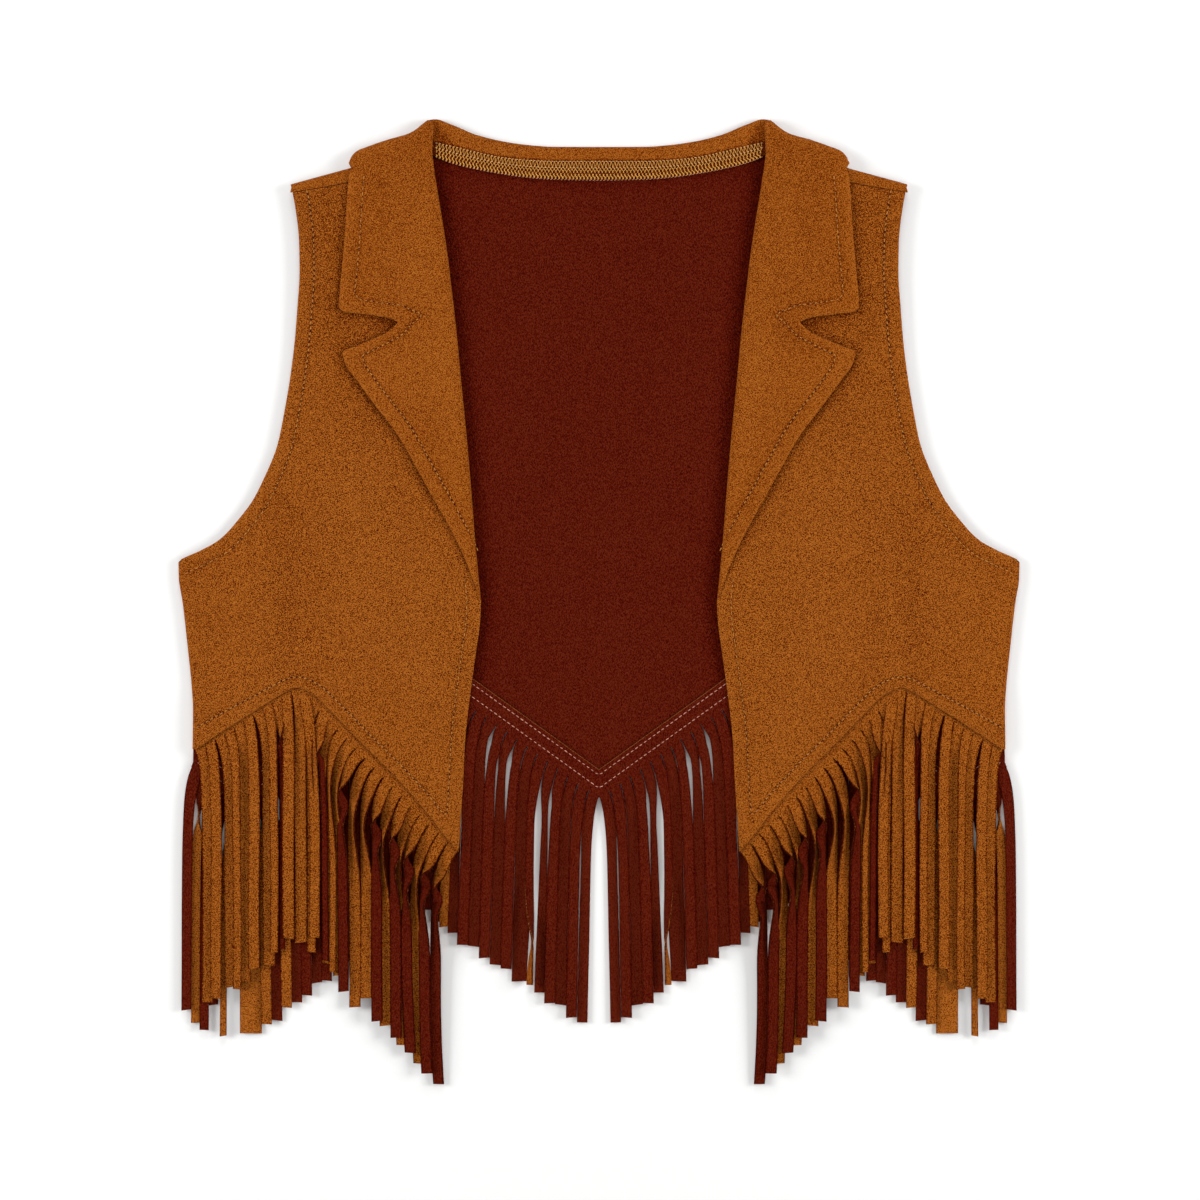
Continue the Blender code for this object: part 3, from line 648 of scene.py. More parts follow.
lapel_rows = np.concatenate([np.linspace(10, 126, 60), np.linspace(126.5, 160, 60), np.linspace(161, 240, 50)])
lapel_edge = np.stack([lapel_u(lapel_rows), lapel_y(lapel_rows)], axis=1)
NOTCH_STITCH = np.array([
    (126.5, 131.5), (114.2, 137.4), (105.4, 142.2), (100.6, 147.5), (94.2, 153.4), (99.5, 155.5),
    (104.9, 158.2), (115.0, 159.3), (128.4, 161.4)])
lapel_part = lapel_edge[(lapel_rows > 20) & (lapel_rows < 120)]
collar_part = lapel_edge[lapel_rows > 166]
lapel_stitch = np.concatenate([
    inset(lapel_part, LAPEL_INSET, 1), NOTCH_STITCH, inset(collar_part, LAPEL_INSET, 1)])
print("stitch lines:", len(armhole_stitch), len(hem_stitch), len(lapel_stitch), "points")

# %% [markdown]
# ## The back panel
#
# The back is one piece from the hem to the neck, and what shows of it is its dark red inside. Its hem is a
# zigzag, and at each shoulder a strip of it wraps forward over the fold to the seam, so its suede shows there.
# The panel lies flat under everything else, with only faint waves where it is open.

# %% Back panel
BACK_CREASES = [
    (0, -60, 0, 190, 26, 0.35), (34, -70, 30, 60, 9, -0.22), (48, 60, 30, 200, 12, 0.25),
    (12, 120, 52, 215, 10, -0.2), (20, -20, 60, -60, 8, 0.2), (40, 215, 66, 222, 9, 0.3)]
# Painted shade and light on the back's inside: darker beside the neck band and the fronts, a little lighter in
# the middle.
BACK_PAINTED_SHADE = [
    (0, 222, 80, 232, 4, -0.35), (84, 150, 88, 232, 12, -0.2), (0, -60, 0, 40, 40, 0.10),
    (30, 120, 60, 60, 22, 0.05), (16, 40, 20, 120, 12, -0.05)]
BACK_SHADE, BACK_SHADE_WIDTH = 0.7, 7.0
SIDE_HEM_U, SIDE_HEM_Y = 217.6, -80.3
SHOULDER_END_U, SHOULDER_END_Y = 165.0, 218.4
WRAP_TURNS = 8
REACH = 5
MAX_STRETCH = 2.0


def back_hem(u):
    """Lower edge of the back."""
    return read_rows(u, BACK_HEM_CORNERS) - BACK_HEM_BELOW_ROW


def back_top(u):
    """Neck edge of the back, then the start of its shoulder fold."""
    low = FOLD + HALF
    rows = [(row[0], row[2] - GAP) for row in BACK_NECK[:-1]]
    for u_fold in (SHOULDER_WRAP_START, *(row[0] for row in SHOULDER_FOLD[1:])):
        y_fold = float(shoulder_fold_y(u_fold))
        rows.append((u_fold - SHOULDER_OUTWARD[0] * low, y_fold - SHOULDER_OUTWARD[1] * low))
    return read_rows(u, rows)


def armhole_stretch(y):
    """How much wider a level distance is than one square to the armhole."""
    slope = (side_u(y + REACH) - side_u(y - REACH)) / (2 * REACH)
    return np.where(y > UNDERARM_Y - 4, np.clip(np.hypot(1, slope), 1, MAX_STRETCH), 1.0)


underarm_share = (UNDERARM_Y - back_hem(SIDE_HEM_U)) / (back_top(SHOULDER_END_U) - back_hem(SIDE_HEM_U))
back_columns = spread(np.array([0.0, 2.4]), 62, EDGE_STEPS[[0, 1, 3, 5, 7, 9, 11, 12]])
back_rows = (np.array([0.0, 0.6, 1.6, 3.2, 5.4]), dense_shares(104, underarm_share, 20),
             np.array([0.0, 0.8, 2.4]))
u, y, share = panel_grid(back_columns, back_rows, back_hem, back_top, lambda y: 0 * y, side_u, armhole_stretch)
plan = np.stack([u.ravel(), y.ravel()], axis=1)
open_area = ease((60 - u.ravel()) / 30) * ease((y.ravel() + 70) / 40)
wave, seam, edge = relief(plan, [], [armhole_stitch], BACK_CREASES)
z = layer(BACK_LAYER) + rise(y) + (wave * np.maximum(open_area, 0)).reshape(y.shape)
grid = np.stack([u, y, z], axis=2)

wrapped = arc(grid[-1][:, :2], np.array(SHOULDER_OUTWARD), -FOLD, grid[-1][:, 2], WRAP_TURNS)
seam_u = grid[-1][:, 0] + SHOULDER_WRAP_LEAN
wrapped.append(np.stack([seam_u, shoulder_seam_y(seam_u) + GAP / 2, wrapped[-1][:, 2]], axis=1))
wrapped = np.array(wrapped)
wrapped[:, grid[-1][:, 0] < SHOULDER_WRAP_FROM] = np.nan
half = np.concatenate([grid, wrapped])
roll_y = np.linspace(-100, 240, 120)
roll_line = np.stack([roll_u(roll_y), roll_y], axis=1)
# Painted shade in a band along each roll line, where the front lies over the back, added to the soft bands
# above.
shaded = along_lines(plan, BACK_PAINTED_SHADE) - BACK_SHADE * ridge(distance_to(plan, roll_line), BACK_SHADE_WIDTH)
back_marks = {label: opened(values) for label, values in marks_on(half, y.shape, seam=seam, nap=shaded).items()}
back_panel = cloth_from_grid("back_cloth", opened(half, MIRROR), [reverse_face, suede_face, suede_face],
                             attributes=back_marks)
# The shade is painted on the inside only, so the points of the outer face lose it again.
outer_face = [face for face in back_panel.data.polygons if face.material_index == 1]
for vertex in {v for face in outer_face for v in face.vertices}:
    back_panel.data.attributes["nap"].data[vertex].value = 0.0

# %% [markdown]
# ## The fronts
#
# Each front hangs from the shoulder seam to a pointed hem. Its armhole, hem and front edge are turned and
# stitched. It lies over the back, lifts where the fringe's strip is sewn under its hem, and turns down at the
# side seam. The broad soft creases are placed where the photograph shows the light change.

# %% Front panels
FRONT_CREASES = [
    (163, -38, 166, 40, 5, -0.35), (150, -40, 152, 60, 9, 0.35), (196, -50, 200, 10, 12, 0.4),
    (118, -70, 128, 30, 14, 0.35), (100, -95, 84, -20, 10, -0.3), (90, -20, 118, 60, 12, 0.3),
    (142, 60, 146, 200, 8, 0.4), (152, 80, 150, 190, 5, -0.3), (130, 30, 168, 52, 9, -0.3),
    (176, 30, 204, 18, 7, 0.5), (140, 170, 152, 212, 7, 0.35), (128, 96, 140, 120, 8, 0.35)]
# Painted shade and light on the fronts: soft darker and lighter bands along the creases, a broad darker band
# beside the collar, and a dark patch inside the notch.
FRONT_PAINTED_SHADE = [
    (168, -42, 168, 50, 7, -0.30), (150, -30, 150, 60, 12, -0.08), (196, -60, 206, 14, 16, 0.08),
    (124, 110, 150, 214, 22, -0.40), (110, 149.5, 118, 149.5, 4, -0.9), (108, -80, 84, -110, 16, 0.14),
    (116, -20, 128, 50, 22, 0.10), (176, 34, 216, 20, 6, -0.16), (140, 100, 146, 130, 9, 0.10),
    (160, -34, 196, -56, 8, 0.10), (100, -60, 76, -10, 12, 0.05)]
LAPEL_SHADE = 0.95
LOWEST_DENT = 0.25
DRAW_BACK_Y, DRAW_BACK_LENGTH = 0.0, 12.0
UNDERARM_MARGIN = 0.5
QUARTER_TURNS = 6


def front_inner(y):
    """Inner edge of the front, which draws back inside the lapel's fold above the break."""
    return roll_u(y) + (FOLD + HALF + GAP) * ease((y - DRAW_BACK_Y) / DRAW_BACK_LENGTH)


def front_outer(y):
    """Where the front starts to turn down at the side seam, or its armhole edge."""
    return side_u(y) - np.where(y < UNDERARM_Y + UNDERARM_MARGIN, FOLD + HALF, 0.0)


def front_top(u):
    """Shoulder seam of the front."""
    return shoulder_seam_y(u) - GAP / 2


side_share = (UNDERARM_Y - SIDE_HEM_Y) / (SHOULDER_END_Y - SIDE_HEM_Y)
front_columns = spread(EDGE_STEPS, 42, EDGE_STEPS)
front_rows = (EDGE_STEPS, dense_shares(92, side_share, 26), np.array([0.0, 0.8, 2.0, 4.0]))
u, y, share = panel_grid(front_columns, front_rows, front_hem_y, front_top, front_inner, front_outer,
                         armhole_stretch)
plan = np.stack([u.ravel(), y.ravel()], axis=1)
wave, seam, edge = relief(plan, [front_hem, front_edge, armhole], [armhole_stitch, hem_stitch], FRONT_CREASES)
at_side = ease((side_u(plan[:, 1]) - plan[:, 0] - 1.5) / 8)
wave = np.where(plan[:, 1] < UNDERARM_Y, wave * at_side, wave)
lapel_limit = np.interp(plan[:, 1], lapel_edge[:, 1], lapel_edge[:, 0])
covered = ease((lapel_limit - plan[:, 0] + 3) / 5) * (plan[:, 1] > BREAK_Y)
wave = np.maximum(np.where(wave > 0, wave * (1 - covered), wave), -LOWEST_DENT)
beside_lapel = distance_to(plan, lapel_edge)
# Painted shade beside the lapel's edge, where the lapel casts its shadow on the front.
nap = along_lines(plan, FRONT_PAINTED_SHADE) - LAPEL_SHADE * np.exp(-beside_lapel / 2.6) * (plan[:, 1] > BREAK_Y + 4)
hem_lift = STEP * (1 - ease((share - HEM_LIFT_FULL) / (HEM_LIFT_END - HEM_LIFT_FULL)))
z = layer(FRONT_LAYER) + rise(y) + hem_lift + wave.reshape(y.shape)
grid = np.stack([u, y, z], axis=2)

border = grid[:, -1]
turned = arc(border[:, :2], np.array((1.0, 0.0)), FOLD, border[:, 2], QUARTER_TURNS * 2, QUARTER_TURNS)
turned.append(np.stack([border[:, 0] + FOLD, border[:, 1],
                        np.full(len(border), layer(BACK_LAYER) + HALF + GAP)], axis=1))
turned = np.stack(turned, axis=1)
turned[border[:, 1] >= UNDERARM_Y + UNDERARM_MARGIN] = np.nan
front_points = np.concatenate([grid, turned], axis=1)
front_marks = marks_on(front_points, y.shape, seam=seam, edge=edge, nap=nap)
front_panels = pair_of("front_cloth_", front_points, [front_face, reverse_face, front_face], front_marks)

# %% [markdown]
# ## Lapels and collar
#
# Lapel and collar front are one sheet here: they fold over at the roll line, show the suede again, and end in
# the notched outline. The grid fans out from the roll line to that outline. The collar then wraps over the
# shoulder and hides behind the back. The outer edge floats about a millimetre above the front, as a springy
# turned edge does, and that draws the soft dark line beside it, which painted shade on the front deepens.

# %% Lapels
LAPEL_CREASES = [
    (84, 40, 100, 110, 8, 0.35), (92, 96, 118, 124, 7, -0.3), (96, 160, 104, 228, 8, 0.4),
    (112, 170, 118, 236, 7, -0.35), (104, 128, 118, 118, 6, 0.3), (88, 130, 92, 200, 6, 0.25)]
# Painted shade and light on the lapels: soft darker and lighter patches.
LAPEL_PAINTED_SHADE = [
    (120, 236, 112, 200, 9, -0.16), (128, 206, 130, 170, 6, -0.12), (98, 214, 104, 176, 12, 0.10),
    (96, 150, 112, 140, 9, -0.22), (84, 120, 92, 168, 9, 0.06), (78, 40, 90, 96, 6, -0.12),
    (100, 236, 92, 252, 8, -0.14), (112, 116, 124, 122, 7, 0.10), (76, 60, 84, 130, 5, 0.10),
    (108, 170, 108, 240, 24, -0.14)]
LAPEL_FLOAT = 0.9
ROLL_TURNS, COLLAR_TURNS = 8, 10
LAPEL_MIDDLE = 22
TIP_ROWS = [(1.0, 64.6, 1.6), (4.0, 65.2, 5.0), (7.0, 66.0, 8.4)]
TIP_FOLD, TIP_LENGTH = 0.3, 12.0

tipped_u, tipped_y = (smooth_line(TIP_ROWS + LAPEL, k, (NOTCH_ROLL_Y,)) for k in (1, 2))
roll_rows = np.concatenate([
    np.linspace(1, 122, 56), np.linspace(123.2, 162, 50), np.linspace(164, 240, 34)])
roll_radius = FOLD * (TIP_FOLD + (1 - TIP_FOLD) * ease((roll_rows - 1) / TIP_LENGTH))
start = np.stack([roll_u(roll_rows) + roll_radius + HALF, roll_rows], axis=1)
finish_line = np.stack([tipped_u(roll_rows), tipped_y(roll_rows)], axis=1)
finish_line[:, 0] = np.maximum(finish_line[:, 0], start[:, 0] + 0.6)
length = np.linalg.norm(finish_line - start, axis=1)
near_edge = np.minimum(EDGE_STEPS[None, :] / np.maximum(length, 1.0)[:, None],
                       EDGE_STEPS[None, :] / EDGE_WIDTH * 0.6)
body_shares = np.linspace(0, 1, LAPEL_MIDDLE + 1)[None, :-1] * (1 - near_edge[:, -1:])
shares = np.concatenate([body_shares, 1 - near_edge[:, ::-1]], axis=1)
plan_rows = start[:, None] + shares[..., None] * (finish_line - start)[:, None]

wrap_shares = shares[-1]
wrap_in = WRAP_FOLD + HALF
ROUND_CORNER = [(0.90, 129.6, 241.1, 126.6, 223.2), (0.96, 132.0, 238.6, 128.4, 225.8),
                (1.00, 133.7, 234.8, 129.8, 228.0)]
round_wrap = [(0.00, 91.8, 257.6, 89.6, 206.8)] + COLLAR_WRAP[1:-1] + ROUND_CORNER
fold_line = np.stack([smooth_line(round_wrap, k)(wrap_shares) for k in (1, 2)], axis=1)
end_line = np.stack([smooth_line(round_wrap, k)(wrap_shares) for k in (3, 4)], axis=1)
shoulder_row = fold_line - np.array(COLLAR_OUTWARD) * wrap_in
steps_up = np.linspace(0, 1, 8)[1:, None, None]
upper_rows = plan_rows[-1][None] + steps_up * (shoulder_row - plan_rows[-1])[None]
plan_rows = np.concatenate([plan_rows, upper_rows])

flat_plan = plan_rows.reshape(-1, 2)
wave, seam, edge = relief(flat_plan, [lapel_edge], [lapel_stitch], LAPEL_CREASES)
from_roll = ease((flat_plan[:, 0] - roll_u(flat_plan[:, 1]) - 4) / 30)
to_shoulder = ease((fold_line[0, 1] - 4 - flat_plan[:, 1] - 0.5 * (flat_plan[:, 0] - 90)) / 22)
float_up = LAPEL_FLOAT * from_roll * to_shoulder
wave = wave * ease((flat_plan[:, 0] - roll_u(flat_plan[:, 1]) - 1) / 6) * np.maximum(to_shoulder, 0)
all_radii = np.concatenate([roll_radius, np.full(len(upper_rows), FOLD)])
sunk = np.repeat(FOLD - all_radii, plan_rows.shape[1])
z = layer(LAPEL_LAYER) + rise(flat_plan[:, 1]) + wave + float_up - sunk
face = np.concatenate([flat_plan, z[:, None]], axis=1).reshape(*plan_rows.shape[:2], 3)

roll = np.stack(arc(face[:, 0, :2], np.array((-1.0, 0.0)), all_radii, face[:, 0, 2], ROLL_TURNS), axis=1)
leg = roll[:, -1] + np.array((LAPEL_LEG_WIDTH - FOLD - HALF, 0.0, 0.0))
hidden = np.concatenate([leg[:, None], roll[:, ::-1]], axis=1)
cut = face[:, 0, 1] > LAPEL_LEG_TOP
hidden[cut, :ROLL_TURNS // 2 + 1] = np.nan
sheet = np.concatenate([hidden, face], axis=1)
border = sheet[-1]
bend = WRAP_FOLD - (face[-1, 0, 2] - np.minimum(border[:, 2], face[-1, 0, 2]))
over = arc(border[:, :2], np.array(COLLAR_OUTWARD), bend, border[:, 2], COLLAR_TURNS)
fall_shift = np.concatenate([np.repeat((end_line - shoulder_row)[:1], hidden.shape[1], axis=0),
                             end_line - shoulder_row])
for part in (0.25, 0.5, 0.75, 1.0):
    over.append(np.column_stack([border[:, :2] + part * fall_shift, over[COLLAR_TURNS - 1][:, 2]]))
lapel_points = np.concatenate([sheet, np.stack(over)])
nap = along_lines(flat_plan, LAPEL_PAINTED_SHADE)
lapel_marks = marks_on(lapel_points, face.shape[:2], hidden.shape[1], seam=seam, edge=edge, nap=nap)
lapels = pair_of("lapel_cloth_", lapel_points, [suede_face] * 3, lapel_marks)

# %% [markdown]
# ## Back of the collar
#
# At the back of the neck the collar stands up in front, with its seam allowance turned down and overlocked, and
# folds over to a fall that is hidden behind the back panel. A band of rows swept along the neck line gives it,
# finer than in the plain model so that the fold is round.

# %% Collar back
# The band runs on a little way under the collar front, which hides its end.
NECK_END = (91.4, 257.9, 246.4, 240.0, 206.8)
FRONT_ROWS, BAND_ROWS = 9, 6
# Painted shade on the collar back: a dark patch in the fold where it meets the collar front, a darker band
# behind the overlock loops, and a little painted light near its end.
NECK_PAINTED_SHADE = [(89, 253, 83, 246, 3.5, -1.1), (0, 243, 60, 247, 3, -0.12), (76, 250, 82, 252, 3, 0.2)]
SHADE_BEHIND_LOOPS = 1.9


def make_neck_band():
    """Rows of the collar at the back neck, from the allowance over the fold to the hidden fall."""
    u = np.linspace(0, NECK_END[0], 62)
    fold, seam_y, low, fall = (smooth_line(BACK_NECK + [NECK_END], k)(u) for k in (1, 2, 3, 4))
    slope = np.gradient(fold, u)
    slope[0] = 0.0
    outward = np.stack([-slope, np.ones(len(u))], axis=1) / np.hypot(1, slope)[:, None]
    start = np.stack([u, fold], axis=1) - outward * (FOLD + HALF)
    z = layer(COLLAR_LAYER)
    rows = [np.stack([u, y, np.full(len(u), z + swell)], axis=1) for y, swell in (
        (low, -0.25), (low + 0.8, -0.05), (low + 2.5, 0.15), (low + 5.0, 0.2), (seam_y - 1.5, 0.1),
        (seam_y, -0.15), (seam_y + 1.5, 0.15), (seam_y * 0.6 + start[:, 1] * 0.4, 0.3))]
    rows.append(np.concatenate([start, np.full((len(u), 1), z)], axis=1))
    rows += arc(start, outward, FOLD, np.full(len(u), z), ROLL_TURNS)
    z_fall = rows[-1][:, 2]
    for part in (0.33, 0.67, 1.0):
        rows.append(np.stack([u, start[:, 1] + part * (fall - start[:, 1]), z_fall], axis=1))
    return np.stack(rows)


neck_half = make_neck_band()
half_nap = along_lines(neck_half[..., :2].reshape(-1, 2), NECK_PAINTED_SHADE).reshape(neck_half.shape[:2])
half_nap[:BAND_ROWS] -= SHADE_BEHIND_LOOPS
collar_back = cloth_from_grid("collar_back_cloth", opened(neck_half, MIRROR), [suede_face] * 3,
                              attributes={"nap": opened(half_nap)})

# %% [markdown]
# ## The fringe
#
# The maker cuts slits into a strip of suede and sews its uncut edge under the hem. So strip and strands are one
# skin here too. Each strand is a ribbon that leaves the strip square to it, swings down, and hangs to its tip.
# What makes a fringe look real is that hardly any strand lies quite flat: near a slanted hem each one curls on
# its edge, and some turn over and show the dark red reverse. Every strand therefore has an angle that changes
# along its length. Lofting it ring by ring in Python gives control over each one, which instances would not.

# %% Fringe sizes and tips
SLIT = 0.5
STRAND_RISE, STRAND_CLOTH = HALF + GAP, 1.0
STRIP_SIDE_U = 215.6
BACK_STRIP_SIDE_U = (213.6, 218.3)
FRONT_STRIP_END_U = 76.0
BACK_STRIP_ABOVE, BACK_STRIP_BELOW = 8.1, 4.1
FRONT_STRIP_ABOVE, FRONT_STRIP_BELOW = 9.0, 0.9
PEAK_CUT, SETTLED = 3.6, 0.25
BACK_STRANDS = (17, 1, 17, 5)
FRONT_STRANDS = (10, 1, 17)
BACK_DROP, BACK_DROP_SPREAD, STRAND_WAVE = 122.5, 1.6, 2.4
BACK_TIP_SHIFT = [
    (2.7, 6.2), (68.0, 10.7), (90.0, 6.4), (98.0, 1.6), (124.0, -4.0), (187.0, -4.6), (193.0, 6.8),
    (216.0, 6.2)]
BACK_SIDE_TIPS = [
    (201.2, -232.4, 3.6), (206.6, -216.0, 5.0), (211.4, -229.2, 5.0), (216.0, -225.5, 5.2),
    (220.9, -218.5, 5.4)]
# Front tips: u and y of the tip, width, layer above the strip, and how far the strand's end sags.
FRONT_TIPS = [
    (209.2, -214.1, 5.6, 0, 0.0), (204.6, -212.0, 5.8, 1, 0.0), (197.2, -206.1, 6.0, 0, 0.0),
    (193.4, -207.0, 4.4, 1, 0.0), (189.2, -202.9, 6.2, 0, 0.0), (184.3, -196.0, 6.0, 1, 0.0),
    (176.6, -194.3, 6.2, 0, 0.0), (173.6, -187.4, 4.4, 1, 0.0), (169.4, -185.8, 3.4, 0, 0.0),
    (165.9, -179.9, 6.2, 1, 0.0), (159.4, -182.1, 6.2, 0, 0.0), (151.9, -179.4, 5.6, 1, 0.0),
    (153.6, -187.4, 4.4, 0, 0.0), (146.2, -191.7, 3.4, 1, 0.0), (145.6, -193.4, 4.6, 0, 0.0),
    (142.2, -197.8, 3.4, 1, 0.0), (139.4, -199.8, 5.6, 0, 0.0), (136.6, -208.2, 5.6, 1, 0.0),
    (130.5, -216.8, 6.0, 0, 0.0), (124.3, -212.0, 6.2, 0, 0.0), (118.6, -224.0, 6.0, 1, 0.0),
    (114.4, -226.7, 6.0, 0, 0.0), (108.2, -232.8, 6.0, 1, 0.0), (105.4, -237.1, 5.6, 0, 0.0),
    (101.0, -241.1, 6.0, 1, 1.0), (96.4, -247.3, 6.0, 0, 2.4), (91.8, -252.1, 6.0, 1, 1.0),
    (85.9, -258.3, 5.8, 0, 2.4)]
# Strands that turn over, by number: where the turn starts and ends along the strand, and how many half turns.
FRONT_TURNS = {
    8: (0.06, 0.26, 1), 13: (0.06, 0.28, 1), 17: (0.08, 0.32, 1), 20: (0.10, 0.30, 1), 22: (0.10, 0.30, 1),
    24: (0.10, 0.32, 1), 26: (0.09, 0.28, 1), 27: (0.10, 0.30, 1)}
BACK_TURNS = {5: (0.45, 1.0, 0.67), 13: (0.06, 0.20, 1), 31: (0.03, 0.20, 1), 33: (0.03, 0.20, 1),
              34: (0.03, 0.20, 1), 35: (0.05, 0.22, 1), 38: (0.06, 0.24, 1)}
BACK_SQUEEZE = 0.86
# Curl of the front strands towards their edge, in radians, by number.
FRONT_CURL = [(0, 0.05), (9, 0.10), (11, 0.25), (12, 0.45), (14, 0.75), (16, 1.05), (21, 1.15), (27, 1.10)]
FRONT_HOOK = [(0, 0.0), (10, 0.0), (11, 4.0), (14, 5.5), (16, 4.0), (19, 2.0), (24, 1.0), (27, 0.0)]
# Bow of the front strands away from the opening, in millimetres, by number.
FRONT_BOW = [(0, 0.0), (21, 0.0), (24, 1.6), (27, 1.6)]
# Slits of the back fringe that stand open: slit number, start and end along the strands, and the widths that
# they take from the strand before and the strand after.
BACK_GAPS = [
    (1, 0.15, 1.10, 0.4, 0.3), (4, 0.07, 0.50, 0.9, 0.8), (5, 0.04, 1.25, 2.0, 1.9),
    (6, 0.50, 1.60, 0.0, -3.2), (8, 0.03, 0.40, 1.2, 1.5), (9, 0.09, 0.42, 0.6, 0.5),
    (10, 0.02, 0.28, 1.0, 1.2), (12, 0.40, 0.75, 0.4, 0.4)]
GAP_OPENS_OVER, GAP_CLOSES_OVER = 0.2, 0.8
RAW_EDGE, BORDER = 0.3, 0.8
# All back strands get painted light, the lower ones more, and those under the fronts painted shade near their
# root.
LOW_STRAND_LIGHT, HIGH_STRAND_LIGHT, LIGHT_OVER = 0.55, 0.15, 0.15
UNDER_FRONTS, COVERED_DARK, COVERED_TO, COVERED_OVER = range(17, 38), 1.6, 0.2, 0.5
# Darker rims on every strand: painted shade where the strands overlap, and the dark red fuzz of the cut.
BACK_BORDER_FUZZ_AND_SHADE, FRONT_BORDER_FUZZ_AND_SHADE = -1.3, -2.1
LEVEL_ALONG = [(0.0, 0.0), (0.10, 0.75), (0.22, 1.0), (1.0, 1.0)]
STATIONS = np.concatenate([np.linspace(0.02, 0.36, 14), np.linspace(0.42, 1.0, 15)])
print("strands:", sum(BACK_STRANDS) * 2 + sum(FRONT_STRANDS) * 2)

# %% Strip lines
def offset_line(corners, distance, u_start, u_end):
    """A line beside a zigzag, met at its corners and cut off at two distances from the centre line."""
    lines = []
    for (u_a, y_a), (u_b, y_b) in zip(corners, corners[1:]):
        slope = (y_b - y_a) / (u_b - u_a)
        lines.append((slope, y_a - slope * u_a + distance * math.hypot(1, slope)))
    points = [(u_start, lines[0][0] * u_start + lines[0][1])]
    for (slope_a, base_a), (slope_b, base_b) in zip(lines, lines[1:]):
        u_cross = (base_b - base_a) / (slope_a - slope_b)
        points.append((u_cross, slope_a * u_cross + base_a))
    points.append((u_end, lines[-1][0] * u_end + lines[-1][1]))
    return [np.array(point) for point in points]


def cut_peak(line):
    """Replace the first inner corner, where the hem peaks, by a short level stretch."""
    before, peak, after = line[:3]
    first = peak + (before - peak) * PEAK_CUT / np.linalg.norm(before - peak)
    second = peak + (after - peak) * PEAK_CUT / np.linalg.norm(after - peak)
    return [before, first, second] + line[2:]


back_high = cut_peak(offset_line(BACK_HEM_CORNERS, BACK_STRIP_ABOVE, 0.0, BACK_STRIP_SIDE_U[0]))
back_low = cut_peak(offset_line(BACK_HEM_CORNERS, -BACK_STRIP_BELOW, 0.0, BACK_STRIP_SIDE_U[1]))
front_corners = [FRONT_HEM[-1], FRONT_HEM_PEAK, FRONT_HEM[0]]
front_high = cut_peak(offset_line(front_corners, FRONT_STRIP_ABOVE, STRIP_SIDE_U, FRONT_STRIP_END_U))
front_low = cut_peak(offset_line(front_corners, -FRONT_STRIP_BELOW, STRIP_SIDE_U, FRONT_STRIP_END_U))
print("back strip from", back_high[0].round(1), "to", back_high[-1].round(1))

# %% One strand
HOOK_REACH, HOOK_START = 0.22, 0.045
STAND_LIFT = 0.4
ROOT_THINS, CUP_OVER, CUP_DEPTH, CUP_SIDE = 0.1, 0.2, 0.25, 0.7
BORDER_LIMIT, TIP_SLANT = 0.3, 0.35
CURL_UP, CURL_DOWN, CURL_LOST = 0.24, 0.30, 0.94
WAVER, WAVER_PACE, WAVER_OVER = 0.05, 5.0, 0.3


def unit(vector):
    """A vector of length 1."""
    return vector / np.linalg.norm(vector)


def hang(root, tip, mix, early, hook=0.0):
    """Centre line of a strand: it leaves the strip square to it, swings down and hangs to its tip."""
    s = STATIONS
    swing = mix * (1 - np.exp(-s / early)) + (1 - mix) * s
    hooked = hook * (np.exp(-s / HOOK_REACH) - np.exp(-s / HOOK_START)) * (1 - s)
    return np.stack([root[0] + (tip[0] - root[0]) * swing + hooked, root[1] + (tip[1] - root[1]) * s], axis=1)


def ribbon(first, last, widths, heights, twist_of, pivot, number, squeeze=0.0):
    """Rings of ten points along a strand between two side lines, whose own width may differ."""
    centre = (first + last) / 2
    direction = np.gradient(centre, STATIONS, axis=0)
    direction /= np.linalg.norm(direction, axis=1)[:, None]
    across = np.stack([-direction[:, 1], direction[:, 0], np.zeros(len(centre))], axis=1)
    across *= np.sign((across[:, :2] * (last - first)).sum(1).mean())
    if widths is None:
        widths = ((last - first) * across[:, :2]).sum(1)
    rings = []
    for s, point, side, width, z in zip(STATIONS, centre, across, widths, heights):
        lean, stand = math.cos(twist_of(s)), math.sin(twist_of(s))
        width *= 1 - squeeze * abs(stand)
        shift = side * pivot * width / 2 * (1 - abs(lean))
        middle = np.array((point[0], point[1], z + width * abs(stand) * STAND_LIFT)) + shift
        over = side * lean + np.array((0, 0, stand))
        normal = np.array((0, 0, lean)) - side * stand
        thick = normal * (HALF + (STRAND_CLOTH / 2 - HALF) * float(ease(s / ROOT_THINS)))
        rim = 1 - 2 * min(BORDER, width * BORDER_LIMIT) / width
        cup = -CUP_DEPTH * float(ease(s / CUP_OVER))
        top = []
        for part, dip in ((-1, 0), (-rim, CUP_SIDE * cup), (0, cup), (rim, CUP_SIDE * cup), (1, 0)):
            slant = np.array((0, -TIP_SLANT * part * math.sin(number * 2.3) * (s == 1.0), 0))
            top.append(middle + over * width / 2 * part + normal * dip + slant + thick)
        rings.append(top + [point - 2 * thick for point in top[::-1]])
    return rings


def twist(turned, curl, number):
    """How a strand turns along its length: a curl, a slow waver and, for some, a turn right over."""
    def angle(s):
        curled = curl * ease(s / CURL_UP) * (1 - CURL_LOST * ease((s - CURL_UP) / CURL_DOWN))
        waver = WAVER * math.sin(WAVER_PACE * s + number * 2.1) * ease(s / WAVER_OVER)
        over = 0.0
        if turned:
            start, end, half_turns = turned
            over = half_turns * math.pi * ease((s - start) / (end - start))
        return float(curled + waver + over)
    return angle


